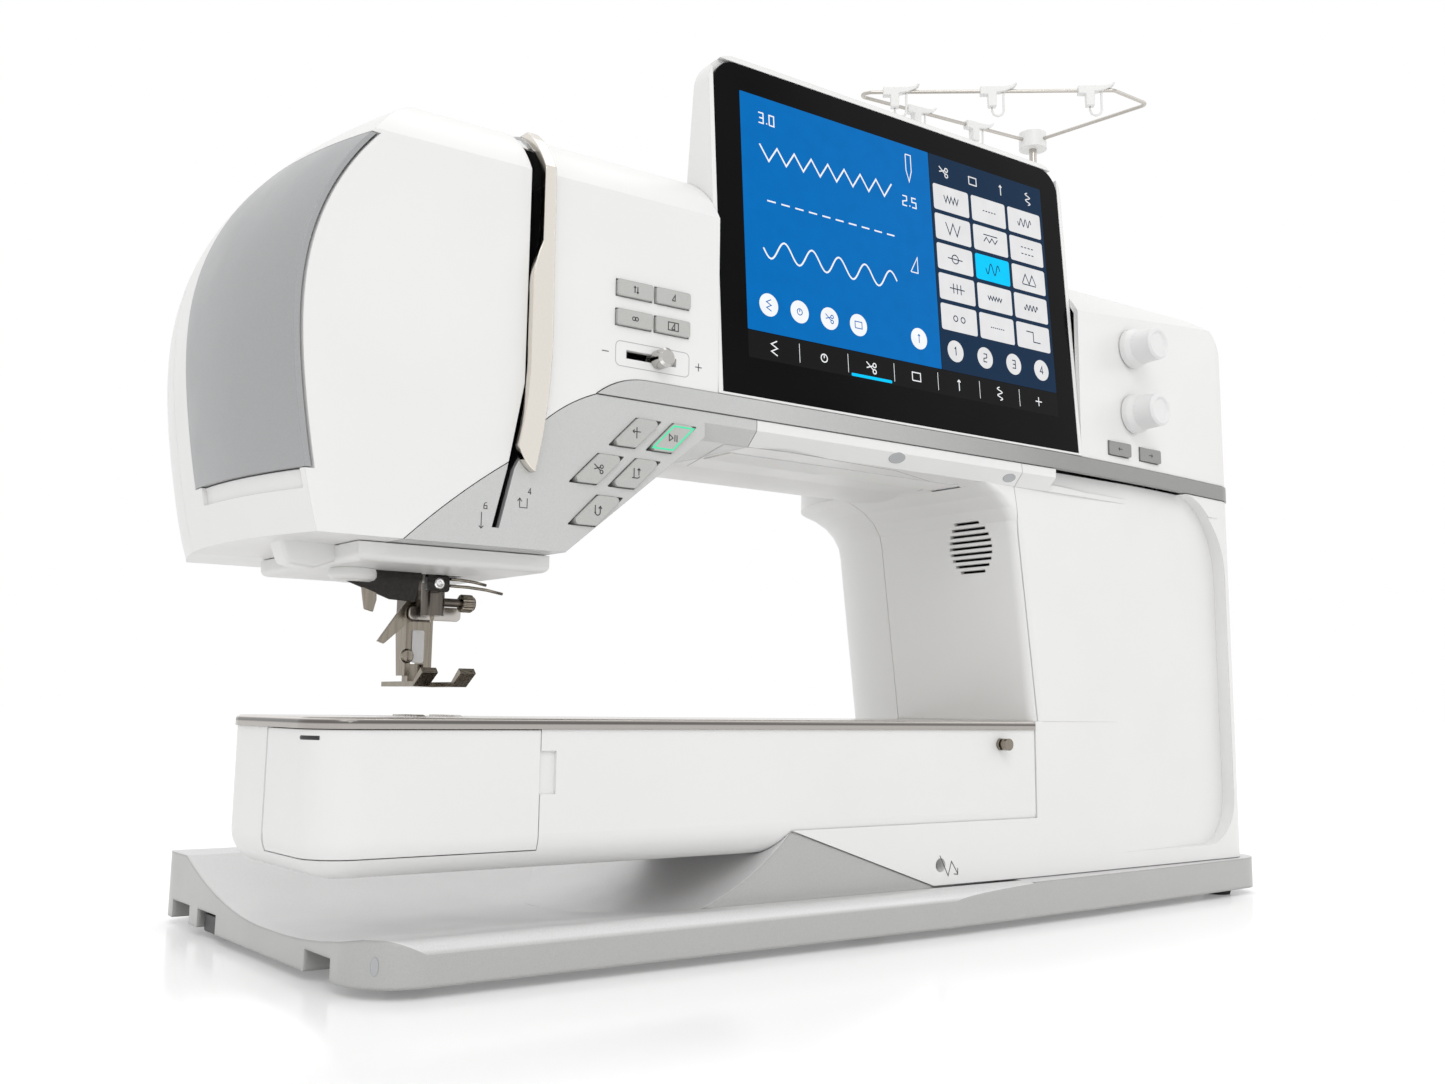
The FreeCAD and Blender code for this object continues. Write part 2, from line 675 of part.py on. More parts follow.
def prism(plane, face, low, high):
    """Face swept along its plane's normal from low to high."""
    normal = NORMALS[plane]
    solid = face.extrude(normal * (high - low))
    solid.translate(normal * low)
    return solid


def slab(x=(-FAR, FAR), y=(-FAR, FAR), z=(-FAR, FAR)):
    return Part.makeBox(x[1] - x[0], y[1] - y[0], z[1] - z[0], Vector(x[0], y[0], z[0]))


def rod(start, along, radius, length):
    return Part.makeCylinder(radius, length, start, along)


# Master forms of the upper body; inset moves every wall inward
def side_line(height):
    """Left reach of the head at a height: an arc below the widest point and a shoulder above it."""
    rise = height - S.head_widest
    if rise <= 0:
        return S.head_left + S.head_side_radius - math.sqrt(S.head_side_radius ** 2 - rise ** 2)
    span = S.arm_top - S.head_widest + S.wall + 1.0
    return S.head_left + S.head_shoulder * (1 - math.sqrt(1 - (rise / span) ** 2))


SIDE_SECTIONS = 9


def side_section(z, inset, front, back):
    """Plan of everything to the right of the head's side at one height."""
    middle = (S.body_front + S.head_back) / 2
    half = (S.head_back - S.body_front) / 2
    radius = (half ** 2 + S.head_side_bow ** 2) / (2 * S.head_side_bow)
    def spot(y):
        return Vector(side_line(z) + inset + radius - math.sqrt(radius ** 2 - (y - middle) ** 2), y, z)
    corners = [spot(back), Vector(FAR, back, z), Vector(FAR, front, z), spot(front)]
    lines = [Part.makeLine(start, end) for start, end in zip(corners, corners[1:])]
    return Part.Wire([Part.Arc(spot(front), spot(middle), spot(back)).toShape()] + lines)


def head_side(inset):
    """Everything to the right of the head's bowed side."""
    low = S.head_bottom - 2 * S.head_base_drop
    high = S.arm_top + S.wall
    front = S.body_front - 2 * S.wall
    back = S.body_back + S.wall
    shares = [math.sin(math.pi / 2 * i / (SIDE_SECTIONS - 1)) for i in range(SIDE_SECTIONS)]
    sections = [side_section(low + (high - low) * share, inset, front, back) for share in shares]
    return Part.makeLoft(sections, True)


def arm_section(offset=0.0):
    """Cross-section of the arm, looking along +X."""
    front, back = S.body_front, S.body_back
    return grown(face_of(
        "yz", (front, S.arm_bottom + S.arm_lip),
        (front, S.face_top),
        ((S.bevel_back, S.arm_top), S.bevel_bow),
        (back - S.top_round, S.arm_top),
        ((back, S.arm_top - S.top_round), quarter(S.top_round)),
        ((S.belly_front, S.arm_bottom), S.belly_bow),
        (front + S.arm_lip, S.arm_bottom)), offset)


def plan(left, offset=0.0):
    """Plan of the body to the right of a straight left edge, with the bowed right-hand front."""
    corner = S.body_corner
    front_corner = (S.body_right - corner, S.body_front_right)
    return grown(face_of(
        "xy", (left, S.body_front),
        (left, S.body_back),
        (S.body_right - corner, S.body_back),
        ((S.body_right, S.body_back - corner), quarter(corner)),
        (S.body_right, S.body_front_right + corner),
        (front_corner, quarter(corner)),
        ((S.bow_start, S.body_front), S.bow_rise)), offset)


def end_outline(offset=0.0):
    """Front view of the arm's right end with its big upper corner."""
    right, high = S.body_right, S.arm_top
    return grown(face_of(
        "xz", (-FAR, 0.0),
        (-FAR, high),
        (right - S.end_round, high),
        ((right, high - S.end_round), quarter(S.end_round)),
        (right, 0.0)), offset)


def head_outline(offset=0.0):
    """Front view of the head below the arm."""
    return grown(face_of(
        "xz", (-FAR, S.head_bottom),
        (-FAR, S.face_top),
        (S.head_knee, S.face_top),
        (S.head_knee, S.arm_bottom),
        (S.head_toe, S.head_bottom)), offset)


def upper_body(inset):
    arm = prism("yz", arm_section(-inset), -FAR + 1, FAR - 1)
    head = prism("xz", head_outline(-inset), S.body_front + inset, S.head_back - inset)
    form = arm.fuse(head)
    form = form.common(head_side(inset))
    form = form.common(prism("xy", plan(-FAR, -inset), 0, FAR))
    return form.common(prism("xz", end_outline(-inset), -FAR, FAR))


def column_plan(offset=0.0, left=None, front_round=0.0):
    """Plan of the column; its left edge may stand further out and be rounded at the front."""
    corner = S.body_corner
    back_round = S.column_back_round
    if left is None:
        left = S.column_left
    return grown(face_of(
        "xy", (left, S.column_front + front_round),
        (left, S.body_back - back_round),
        ((left + back_round, S.body_back), quarter(back_round)),
        (S.body_right - corner, S.body_back),
        ((S.body_right, S.body_back - corner), quarter(corner)),
        (S.body_right, S.body_front_right + corner),
        ((S.body_right - corner, S.body_front_right), quarter(corner)),
        (left + front_round, S.column_front),
        ((left, S.column_front + front_round), quarter(front_round))), offset)


LEAN_SECTIONS = 4
FLARE_TURNS = (15, 30, 45, 60, 72)


def column_profile():
    """Heights and left edges of the column above the bed: leaning, then flaring into the arm."""
    low = S.bed_top + S.plate_thick
    levels = []
    for i in range(LEAN_SECTIONS):
        share = i / (LEAN_SECTIONS - 1)
        levels.append((low + (S.flare_low - low) * share, S.column_left - S.column_lean * share))
    z, x = levels[-1]
    for turn in FLARE_TURNS:
        angle = math.radians(turn)
        levels.append((z + S.flare_rise * math.sin(angle), x - S.flare_reach * (1 - math.cos(angle))))
    return levels


def column(inset):
    """Column up to where the arm's back turns upright."""
    levels = column_profile()
    def section(z, left):
        wire = column_plan(-inset, left, S.column_front_round).OuterWire
        wire.translate(Z_AXIS * z)
        return wire
    leaning = Part.makeLoft([section(z, left) for z, left in levels], True, True)
    foot = prism("xy", column_plan(-inset), S.base_top + S.seam, levels[0][0])
    top_z, top_left = levels[-1]
    top = prism("xy", column_plan(-inset, top_left, S.column_front_round), top_z,
                S.arm_top - S.top_round - inset)
    form = leaning.fuse([foot, top])
    return form.common(prism("xz", end_outline(-inset), -FAR, FAR))


def body_shell():
    """Hollow upper body and column in one skin."""
    outside = upper_body(0).fuse(column(0))
    inside = upper_body(S.wall).fuse(column(S.wall))
    pipe = prism("xy", column_plan(-S.wall), 0, S.arm_bottom)
    return outside.cut(inside).cut(pipe)


def free_arm_form(offset):
    """Rounded free arm, grown by the offset."""
    x = (S.bed_left - offset, S.column_left - S.seam)
    form = slab(x, (S.bed_front - offset, S.bed_back + offset), (S.bed_bottom - offset, S.bed_top))
    left = x[0]
    upright = [e for e in form.Edges if abs(e.CenterOfMass.x - left) < TINY and abs(e.tangentAt(0).z) > 0.9]
    form = form.makeFillet(S.bed_corner + offset, upright)
    low = S.bed_bottom - offset
    lower = [e for e in form.Edges if e.BoundBox.ZMax < low + TINY and e.BoundBox.XMin < x[1] - TINY]
    return form.makeFillet(S.bed_round + offset, lower)


# Base
def base_plan(offset=0.0):
    corner = S.base_corner
    left, right = S.base_left, S.base_right
    return grown(face_of(
        "xy", (left, S.base_front + corner),
        (left, S.base_back - corner),
        ((left + corner, S.base_back), quarter(corner)),
        (right - corner, S.base_back),
        ((right, S.base_back - corner), quarter(corner)),
        (right, S.base_front_right + corner),
        ((right - corner, S.base_front_right), quarter(corner)),
        ((S.saddle_end, S.base_front), S.bow_rise),
        (left + corner, S.base_front),
        ((left, S.base_front + corner), quarter(corner))), offset)


def base_plate():
    """Dished plate: trough, rear ridge and a saddle that sweeps up under the free arm."""
    dish = face_of(
        "yz", (S.base_front, 0.0),
        (S.base_front, S.base_top - S.rim_round),
        ((S.base_front + S.rim_round, S.base_top), quarter(S.rim_round)),
        (S.base_front + S.rim_width, S.base_top),
        ((S.trough_mid, S.trough_low), -S.trough_bow),
        ((S.hump_front, S.hump_top), -S.hump_bow),
        (S.hump_back, S.hump_top),
        ((S.base_back, S.base_top), S.trough_bow),
        (S.base_back, 0.0))
    dished = prism("yz", dish, S.base_left - 1, S.hump_end)
    flat = slab(x=(S.hump_end - 1, FAR), z=(0, S.base_top))
    saddle = face_of(
        "xz", (S.saddle_start, S.foot_height),
        (S.saddle_start, S.trough_low),
        ((S.saddle_peak, S.saddle_height), -S.saddle_hollow),
        (S.saddle_end, S.base_top),
        (S.saddle_end, S.foot_height))
    form = dished.fuse([flat, prism("xz", saddle, S.bed_front, S.saddle_back)])
    form = form.common(prism("xy", base_plan(), S.foot_height, S.saddle_height + 1))
    form = form.cut(free_arm_form(S.seam))
    ports = [slab((S.base_left - 1, S.base_left + S.port_depth), (y, y + S.port_width), (0, S.port_top))
             for y in (S.port_rear, S.port_middle, S.port_front)]
    return feature("base_plate", form.cut(ports).removeSplitter())


def base_feet():
    """Rubber feet at the corners and under the column."""
    low_x, high_x = "base_left + foot_inset", "base_right - foot_inset"
    low_y, high_y = "base_front + foot_inset", "base_back - foot_inset"
    spots = [(low_x, low_y), (high_x, low_y), (low_x, high_y), (high_x, high_y), ("0", low_y)]
    feet = []
    for i, (x, y) in enumerate(spots):
        foot = doc.addObject("Part::Cone", "foot%d" % i)
        bind(foot, Radius1="foot_radius - wall / 2", Radius2="foot_radius", Height="foot_height")
        feet.append(place(foot, x, y, "0"))
    return keep(group("base_feet", feet))


# Moulded covers
def control_region(offset=0.0):
    """Front view of the silver control panel, with the tip to the left of the slot."""
    return grown(face_of(
        "xz", (S.panel_left, S.head_bottom - S.apron_depth),
        (S.panel_left, S.head_bottom),
        ((S.slot_left, S.panel_step), S.panel_bow),
        (S.slot_right, S.panel_rise),
        ((S.trim_tip, S.trim_bottom - S.seam), S.panel_bow),
        (S.panel_right, S.trim_bottom - S.seam),
        (S.panel_right, S.head_bottom - S.apron_depth)), offset)


def slot_outline(offset=0.0):
    """Front view of the take-up slot: upright above, leaning to a narrow lower end."""
    return grown(face_of(
        "xz", (S.slot_left, S.liner_high),
        (S.slot_right, S.liner_high),
        (S.slot_right, S.slot_elbow),
        (S.neck_x + S.thread_gap, S.slot_neck),
        (S.toe_x + S.thread_gap, S.liner_low),
        (S.toe_x, S.liner_low),
        (S.neck_x, S.slot_neck),
        (S.slot_left, S.slot_bend)), offset)


def trim_region(offset=0.0):
    """Front view of the trim band with its pointed left end."""
    return grown(face_of(
        "xz", (S.trim_tip, S.trim_bottom),
        ((S.trim_full, S.trim_top), S.trim_bow),
        (FAR, S.trim_top),
        (FAR, S.trim_bottom)), offset)


def window(offset=0.0):
    """Opening in the head's underside for needle and presser."""
    return slab((S.window_left - offset, S.window_right + offset),
                (S.window_front - offset, S.window_back + offset), (0, S.head_bottom + 2 * S.wall))


def screen_form(offset):
    """Wedge of the screen housing in its tilted place, with the room in front of it."""
    front = -S.screen_thick_low
    outline = grown(face_of(
        "yz", (front, 0.0), (front, S.screen_height), (S.screen_thick_top, S.screen_height),
        (S.screen_thick_low, S.screen_knee), (S.screen_thick_low, 0.0)), offset)
    half = S.screen_width / 2 + offset
    form = prism("yz", outline, -half, half)
    lean = Placement(Vector(S.screen_x, S.body_front, S.screen_low), Rotation(-X_AXIS, S.screen_tilt))
    form.Placement = lean * form.Placement
    return form


def key_spots():
    """Middles of the upper four keys."""
    half_x, half_z = S.key_pitch_x / 2, S.key_pitch_z / 2
    return [(S.key_x + a * half_x, S.key_z + b * half_z) for b in (1, -1) for a in (-1, 1)]


PAD_GRID = [(0, 0), (1, 0), (-1, -1), (0, -1), (-1, -2)]


def pad_spots():
    """Middles of the five slanted keys."""
    return [(S.pad_x + a * S.pad_pitch_x, S.pad_z + b * S.pad_pitch_z) for a, b in PAD_GRID]


def arrow_spots():
    return [(S.arrow_x + a * S.arrow_pitch / 2, S.arrow_z) for a in (-1, 1)]


def box_hole(x, z, width, height):
    """Hole through a front wall for a square key."""
    return slab((x - width / 2 - S.slip, x + width / 2 + S.slip),
                (S.body_front - S.wall, S.body_front + 8 * S.wall),
                (z - height / 2 - S.slip, z + height / 2 + S.slip))


def pad_face(offset=0.0):
    """Slanted key about its own middle."""
    lean, half, up = S.pad_slant / 2, S.pad_width / 2, S.pad_height / 2
    return grown(face_of("xz", (-half - lean, -up), (-half + lean, up), (half + lean, up),
                         (half - lean, -up)), offset)


def arm_front_cover(shell):
    low = S.trim_top + S.seam
    upper = slab((S.slot_right, FAR), (-FAR, S.split), (low, FAR))
    top_strip = slab((S.slot_left + S.seam, FAR), (S.slot_back, S.split), (low, FAR))
    corner = slab((S.slot_right, S.trim_full), (-FAR, S.split), (S.panel_step, low + S.wall))
    regions = (control_region(S.seam), trim_region(S.seam))
    corner = corner.cut([prism("xz", region, -FAR, S.split) for region in regions])
    form = shell.common(upper.fuse([top_strip, corner]))
    tools = [screen_form(S.seam)]
    tools += [box_hole(x, z, S.key_width, S.key_height) for x, z in key_spots()]
    tools += [box_hole(x, z, S.arrow_width, S.arrow_height) for x, z in arrow_spots()]
    slot_middle = (S.slider_slot_left + S.slider_slot_right) / 2
    tools.append(box_hole(slot_middle, S.slider_z, S.slider_slot_right - S.slider_slot_left,
                          S.slider_slot_height))
    for z in (S.knob_z_high, S.knob_z_low):
        tools.append(rod(Vector(S.knob_x, S.body_front - S.wall, z), Y_AXIS, S.knob_spindle + S.running,
                         8 * S.wall))
    tools.append(rod(Vector(S.body_right - 8 * S.wall, S.needle_y, S.shaft_z), X_AXIS,
                     S.wheel_radius + S.slip, FAR))
    return feature("arm_front_cover", form.cut(tools))


def head_face_cover(shell):
    """Front and side of the head to the left of the slot, with a finger groove under the side panel."""
    face = face_of("xz", (-FAR, 0.0), (-FAR, FAR), (S.slot_left, FAR), (S.slot_left, S.slot_bend),
                   (S.neck_x, S.slot_neck), (S.toe_x, S.liner_low), (S.toe_x, 0.0))
    form = shell.common(prism("xz", face, -FAR, S.split))
    panel = prism("xz", control_region(S.seam), -FAR, S.split)
    groove = upper_body(0).cut(head_side(S.grip_depth))
    groove = groove.common(slab((-FAR, S.panel_left),
                                (S.body_front + S.wall, S.side_panel_back - S.grip_height),
                                (S.side_panel_low - S.grip_height, S.side_panel_low)))
    return feature("head_face_cover", form.cut([panel, window(), side_panel_zone(S.seam), groove]))


def side_panel_zone(offset):
    """Where the silver panel replaces the wall of the head's side."""
    layer = upper_body(0).cut(head_side(S.wall + 1))
    return layer.common(slab((-FAR, S.panel_left), (-FAR, S.side_panel_back + offset),
                             (S.side_panel_low - offset, S.side_panel_high + offset)))


def head_side_panel():
    form = upper_body(0).cut(head_side(S.side_panel_wall))
    return feature("head_side_panel", form.common(slab(
        (-FAR, S.panel_left), (-FAR, S.side_panel_back), (S.side_panel_low, S.side_panel_high))))


def control_panel(shell):
    form = shell.common(prism("xz", control_region(), -FAR, S.split))
    slot = prism("xz", slot_outline(), -FAR, S.slot_back)
    tools = [window(), slot]
    for x, z in pad_spots():
        hole = prism("xz", pad_face(S.slip), S.body_front - S.wall, S.body_front + 4 * S.wall)
        hole.translate(Vector(x, 0, z))
        tools.append(hole)
    return feature("control_panel", form.cut(tools))


def trim_band():
    """Silver band round the arm's front and right end, pointed at its left end."""
    left = S.trim_tip - S.wall
    ring = prism("xy", plan(left, S.trim_proud), S.trim_bottom, S.trim_top)
    ring = ring.cut(prism("xy", plan(left - S.wall, -S.wall), S.trim_bottom - 1, S.trim_top + 1))
    return feature("trim_band", ring.common(prism("xz", trim_region(), -FAR, S.split)))


def grille_slots():
    """Level slots inside a round field, cut through the column's inner wall."""
    slots = []
    count = int(S.grille_bars)
    pitch = 2 * S.grille_radius / (count + 1)
    for i in range(count):
        z = (i - (count - 1) / 2) * pitch
        half = math.sqrt(S.grille_radius ** 2 - z ** 2) - S.grille_slot / 2
        slots.append(slab((S.column_left - S.column_lean - S.wall, S.column_left + S.wall),
                          (S.grille_y - half, S.grille_y + half),
                          (S.grille_z + z - S.grille_slot / 2, S.grille_z + z + S.grille_slot / 2)))
    return slots


def front_seam(left, gap):
    """Front view of what lies to the right of left and to the left of the column's leaning front seam."""
    low, top = S.bed_top + S.plate_thick + S.seam, S.trim_bottom - S.seam
    foot = S.column_left + S.column_edge + gap
    slope = S.column_lean / (S.flare_low - low)
    return face_of("xz", (left, low), (left, top), (foot - slope * (top - low), top), (foot, low))


def throat_cover(shell):
    """Underside of the arm and inner wall of the column, with the speaker grille."""
    form = shell.common(prism("xz", front_seam(S.panel_right + S.seam, 0.0), -FAR, S.split))
    lamp = slab((S.lamp_left - S.slip, S.lamp_right + S.slip), (S.lamp_front - S.slip, S.lamp_back + S.slip),
                (S.arm_bottom - 1, S.arm_bottom + S.wall + 1))
    return feature("throat_cover", form.cut(grille_slots() + [lamp]))


def column_field(margin=0.0):
    """Concave field of the column's front, deepest at its right edge, with a margin round it."""
    front = S.body_front - S.wall
    left = (S.dish_left, S.column_front)
    right = (S.dish_right, S.body_front_right + S.dish_depth)
    outline = face_of("xy", (left[0], front), left, (right, -S.dish_bow), (right[0], front))
    high_round, low_round = S.dish_high_round, S.dish_low_round
    view = face_of(
        "xz", (S.dish_left, S.dish_low), (S.dish_left, S.trim_bottom),
        (S.dish_right - high_round, S.trim_bottom),
        ((S.dish_right, S.trim_bottom - high_round), quarter(high_round)),
        (S.dish_right, S.dish_low + low_round),
        ((S.dish_right - low_round, S.dish_low), quarter(low_round)))
    field = prism("xy", grown(outline, margin), S.dish_low - S.wall, S.trim_bottom + S.wall)
    return field.common(prism("xz", grown(view, margin), -FAR, FAR))


def column_front_cover(shell):
    top = S.trim_bottom - S.seam
    zone = slab((S.column_left - 2 * S.column_lean, FAR), (-FAR, S.split), (0, top))
    zone = zone.cut(prism("xz", front_seam(-FAR, S.seam), -FAR, S.split))
    field = column_field()
    backing = column_field(S.wall).common(column(0)).common(slab(y=(-FAR, S.split), z=(0, top)))
    form = shell.common(zone).fuse(backing).cut(field)
    wedge = face_of(
        "xz", (S.saddle_peak, S.saddle_height + S.seam), (S.column_left, S.saddle_height + S.seam),
        (S.column_left + S.wall, S.base_top + S.seam), (S.saddle_end, S.base_top + S.seam))
    apron = prism("xz", wedge, S.column_front, S.column_front + S.apron_depth)
    bore = rod(Vector(S.socket_x, S.column_front, S.socket_z), Y_AXIS, S.socket_bore, S.socket_depth)
    passage = slab((S.column_left - 1, S.column_left + 2 * S.wall), (S.bed_front + 4 * S.wall, S.split + 1),
                   (S.bed_bottom + S.wall, S.bed_top - 2 * S.wall))
    form = form.fuse(apron).cut([free_arm_form(S.seam), bore, passage])
    return feature("column_front_cover", form)


def rear_cover(shell):
    form = shell.common(slab((-FAR, FAR), (S.split + S.seam, FAR), (0, FAR)))
    top = S.arm_top - S.top_round
    foot = Vector(S.mast_x, S.mast_y, S.arm_top - S.mast_guide)
    sleeve = rod(foot, Z_AXIS, S.mast_sleeve, S.mast_guide).common(upper_body(0))
    form = form.fuse(sleeve)
    tools = [window(), free_arm_form(S.seam),
             rod(foot - Z_AXIS * top, Z_AXIS, S.mast_radius + S.running, FAR)]
    right = S.body_right - 2 * S.wall
    for z, width, height in ((S.inlet_z, S.inlet_width, S.inlet_height),
                             (S.rocker_z, S.rocker_width, S.rocker_height)):
        tools.append(slab((right, FAR), (S.inlet_y - width / 2 - S.slip, S.inlet_y + width / 2 + S.slip),
                          (z - height / 2 - S.slip, z + height / 2 + S.slip)))
    reach = S.rocker_width / 2 + S.wall + S.slip
    pivot = Vector(S.body_right - S.wall / 2, S.inlet_y - reach, S.rocker_z)
    tools.append(rod(pivot, Y_AXIS, S.hinge_pin + S.running, 2 * reach))
    return feature("rear_cover", form.cut(tools))


# Head pieces
def head_base():
    """White moulding under the head with the well for needle and presser."""
    x = ("window_left + slip", "window_right - slip")
    y = ("window_front + slip", "window_back - slip")
    core = block("head_base_core", x, y, ("head_bottom - head_base_drop", "head_bottom + 2 * wall"))
    skirt = block("head_base_skirt", ("window_left - head_base_drop", "window_right + head_base_drop"),
                  ("window_front - head_base_drop", "window_back + head_base_drop"),
                  ("head_bottom - head_base_drop", "head_bottom - seam"))
    whole = fuse("head_base_solid", [core, skirt])
    doc.recompute()
    rounded = doc.addObject("Part::Fillet", "head_base_round")
    rounded.Base = whole
    low = S.head_bottom - S.head_base_drop
    rounded.Edges = [(i + 1, S.head_base_round, S.head_base_round) for i, edge in enumerate(whole.Shape.Edges)
                     if edge.BoundBox.ZMax < low + TINY]
    well = block("head_base_well", ("needle_x - well_half", "needle_x + well_half"),
                 ("needle_y - well_half", "needle_y + presser_gap + well_half"),
                 ("0", "head_bottom + 4 * wall"))
    return keep(cut("head_base", rounded, well))


def take_up_liner():
    """Dark channel behind the take-up slot, open above and below, with bores for the lever's pin."""
    outside = prism("xz", slot_outline(S.liner_wall), S.body_front + S.wall + S.seam, S.slot_back)
    outside = outside.common(slab(z=(S.liner_low, S.liner_high)))
    inside = prism("xz", slot_outline(), S.body_front, S.slot_back - S.liner_wall)
    start = Vector(S.slot_left - S.wall, S.take_up_y, S.take_up_z)
    bore = rod(start, X_AXIS, S.take_up_pin + S.running, S.slot_right - S.slot_left + 2 * S.wall)
    return feature("take_up_liner", outside.cut([inside, bore]))


def take_up_lever():
    body = new_body("take_up_lever")
    bar = polygon(body, "YZ_Plane", [
        ("take_up_pin + take_up_thick / 2", "-1.2 * take_up_thick"),
        ("take_up_pin + take_up_thick / 2", "1.2 * take_up_thick"),
        ("-take_up_reach", "take_up_thick"), ("-take_up_reach", "-take_up_thick")])
    pad(body, bar, "take_up_thick", both_ways=True)
    pin = circle(body, "YZ_Plane", "0", "0", "take_up_pin")
    pad(body, pin, "slot_right - slot_left + 2 * liner_wall", both_ways=True)
    eye = circle(body, "YZ_Plane", "-take_up_reach + 1.5 * take_up_thick", "0", "take_up_thick / 2")
    pocket(body, eye, "2 * take_up_thick", both_ways=True)
    body.Placement = Placement(Vector(), Rotation(-X_AXIS, S.take_up_lift))
    bind(body, Placement__Rotation__Angle="take_up_lift")
    return keep(place(body, "(slot_left + slot_right) / 2", "take_up_y", "take_up_z"))


def take_up_guard():
    """Polished strip that follows the face and the shoulder in front of the slot."""
    belly = S.guard_middle + S.guard_belly
    outline = face_of(
        "xz", (S.guard_top_left, S.guard_high),
        (S.guard_top_right, S.guard_high),
        (S.guard_right, S.guard_middle),
        ((S.guard_tip_x, S.guard_tip), S.guard_bow),
        ((S.guard_heel_x, S.guard_heel), S.guard_bow),
        ((S.guard_left, S.guard_middle), -S.guard_bow),
        (S.guard_left, belly),
        ((S.guard_top_left, belly + S.guard_waist), S.guard_bow))
    left, right = S.guard_heel_x - S.wall, S.guard_right + S.wall
    def filled(offset):
        front = slab((left, right), (S.body_front - offset, S.bevel_back), (S.head_bottom, S.face_top))
        return prism("yz", arm_section(offset), left, right).fuse(front)
    layer = filled(S.seam + S.guard_proud).cut(filled(S.seam))
    return feature("take_up_guard", layer.common(prism("xz", outline, -FAR, S.bevel_back)))


# Screen
def screen_housing():
    body = new_body("screen_housing")
    outline = polygon(body, "YZ_Plane", [
        ("0", "0"), ("0", "screen_height"), ("screen_thick_top", "screen_height"),
        ("screen_thick_low", "screen_knee"), ("screen_thick_low", "0")])
    pad(body, outline, "screen_width", both_ways=True)
    top = S.screen_height
    along = runs_along(Y_AXIS)
    round_edges(body, "screen_corner", lambda edge: along(edge) and edge.CenterOfMass.z > top - TINY)
    seat = polygon(body, "XZ_Plane", [
        ("-glass_width / 2 - seam", "glass_rise - seam"), ("glass_width / 2 + seam", "glass_rise - seam"),
        ("glass_width / 2 + seam", "glass_rise + glass_height + seam"),
        ("-glass_width / 2 - seam", "glass_rise + glass_height + seam")], "-glass_thick - seam")
    pocket(body, seat, "2 * glass_thick", reverse=True)
    tilt_screen(body)
    return keep(body)


def screen_glass():
    body = new_body("screen_glass")
    sheet_outline = polygon(body, "XZ_Plane", [
        ("-glass_width / 2", "glass_rise"), ("glass_width / 2", "glass_rise"),
        ("glass_width / 2", "glass_rise + glass_height"), ("-glass_width / 2", "glass_rise + glass_height")],
        "-glass_thick")
    pad(body, sheet_outline, "glass_thick")
    top = S.glass_rise + S.glass_height
    along = runs_along(Y_AXIS)
    round_edges(body, "glass_corner", lambda edge: along(edge) and edge.CenterOfMass.z > top - TINY)
    tilt_screen(body)
    return keep(body)


def tilt_screen(body):
    """Lean a screen piece back about its lower front edge."""
    body.Placement = Placement(Vector(), Rotation(-X_AXIS, S.screen_tilt))
    bind(body, Placement__Rotation__Angle="screen_tilt")
    place(body, "screen_x", "body_front", "screen_low")


# Keys, slider and knobs
FRONT_SLOPE = "(body_front_right - body_front) / (body_right - body_corner - bow_start)"


def key(label, corners, x, y, z, radius):
    """Push key that stands proud of a front face; corners are about its middle."""
    body = new_body(label)
    pad(body, polygon(body, "XZ_Plane", corners), "key_depth + key_proud")
    round_edges(body, radius, runs_along(Y_AXIS))
    return keep(place(body, x, "(%s) + key_depth" % y, z))


def square(width, height):
    half, up = "%s / 2" % width, "%s / 2" % height
    return [("-" + half, "-" + up), (half, "-" + up), (half, up), ("-" + half, up)]


KEY_NAMES = ["key_needle_position", "key_half_speed", "key_securing", "key_pattern_end"]
PAD_NAMES = ["key_threader", "key_start_stop", "key_thread_cutter", "key_presser_foot", "key_reverse"]
ARROW_NAMES = ["key_needle_left", "key_needle_right"]


def all_keys():
    for name, (a, b) in zip(KEY_NAMES, [(-1, 1), (1, 1), (-1, -1), (1, -1)]):
        key(name, square("key_width", "key_height"), "key_x + %d * key_pitch_x / 2" % a, "body_front",
            "key_z + %d * key_pitch_z / 2" % b, "key_round")
    slanted = [("(%d * pad_width %s pad_slant) / 2" % (a, b), "%d * pad_height / 2" % c)
               for a, b, c in ((-1, "-", -1), (1, "-", -1), (1, "+", 1), (-1, "+", 1))]
    for name, (a, b) in zip(PAD_NAMES, PAD_GRID):
        key(name, slanted, "pad_x + %d * pad_pitch_x" % a, "body_front", "pad_z + %d * pad_pitch_z" % b,
            "pad_round")
    for name, a in zip(ARROW_NAMES, (-1, 1)):
        x = "arrow_x + %d * arrow_pitch / 2" % a
        face = "body_front + (%s - bow_start) * %s - bow_rise" % (x, FRONT_SLOPE)
        key(name, square("arrow_width", "arrow_height"), x, face, "arrow_z", "key_round")


def speed_slider():
    body = turned("speed_slider", "y", [
        ("-slider_proud", "0"), ("-slider_proud", "slider_radius - key_round"),
        ("-slider_proud + key_round", "slider_radius"), ("-slip", "slider_radius"),
        ("-slip", "slider_slot_height / 2 - slip"), ("wall + slip", "slider_slot_height / 2 - slip"),
        ("wall + slip", "slider_radius"), ("2 * wall", "slider_radius"), ("2 * wall", "0")])
    return keep(place(body, "slider_x", "body_front", "slider_z"))


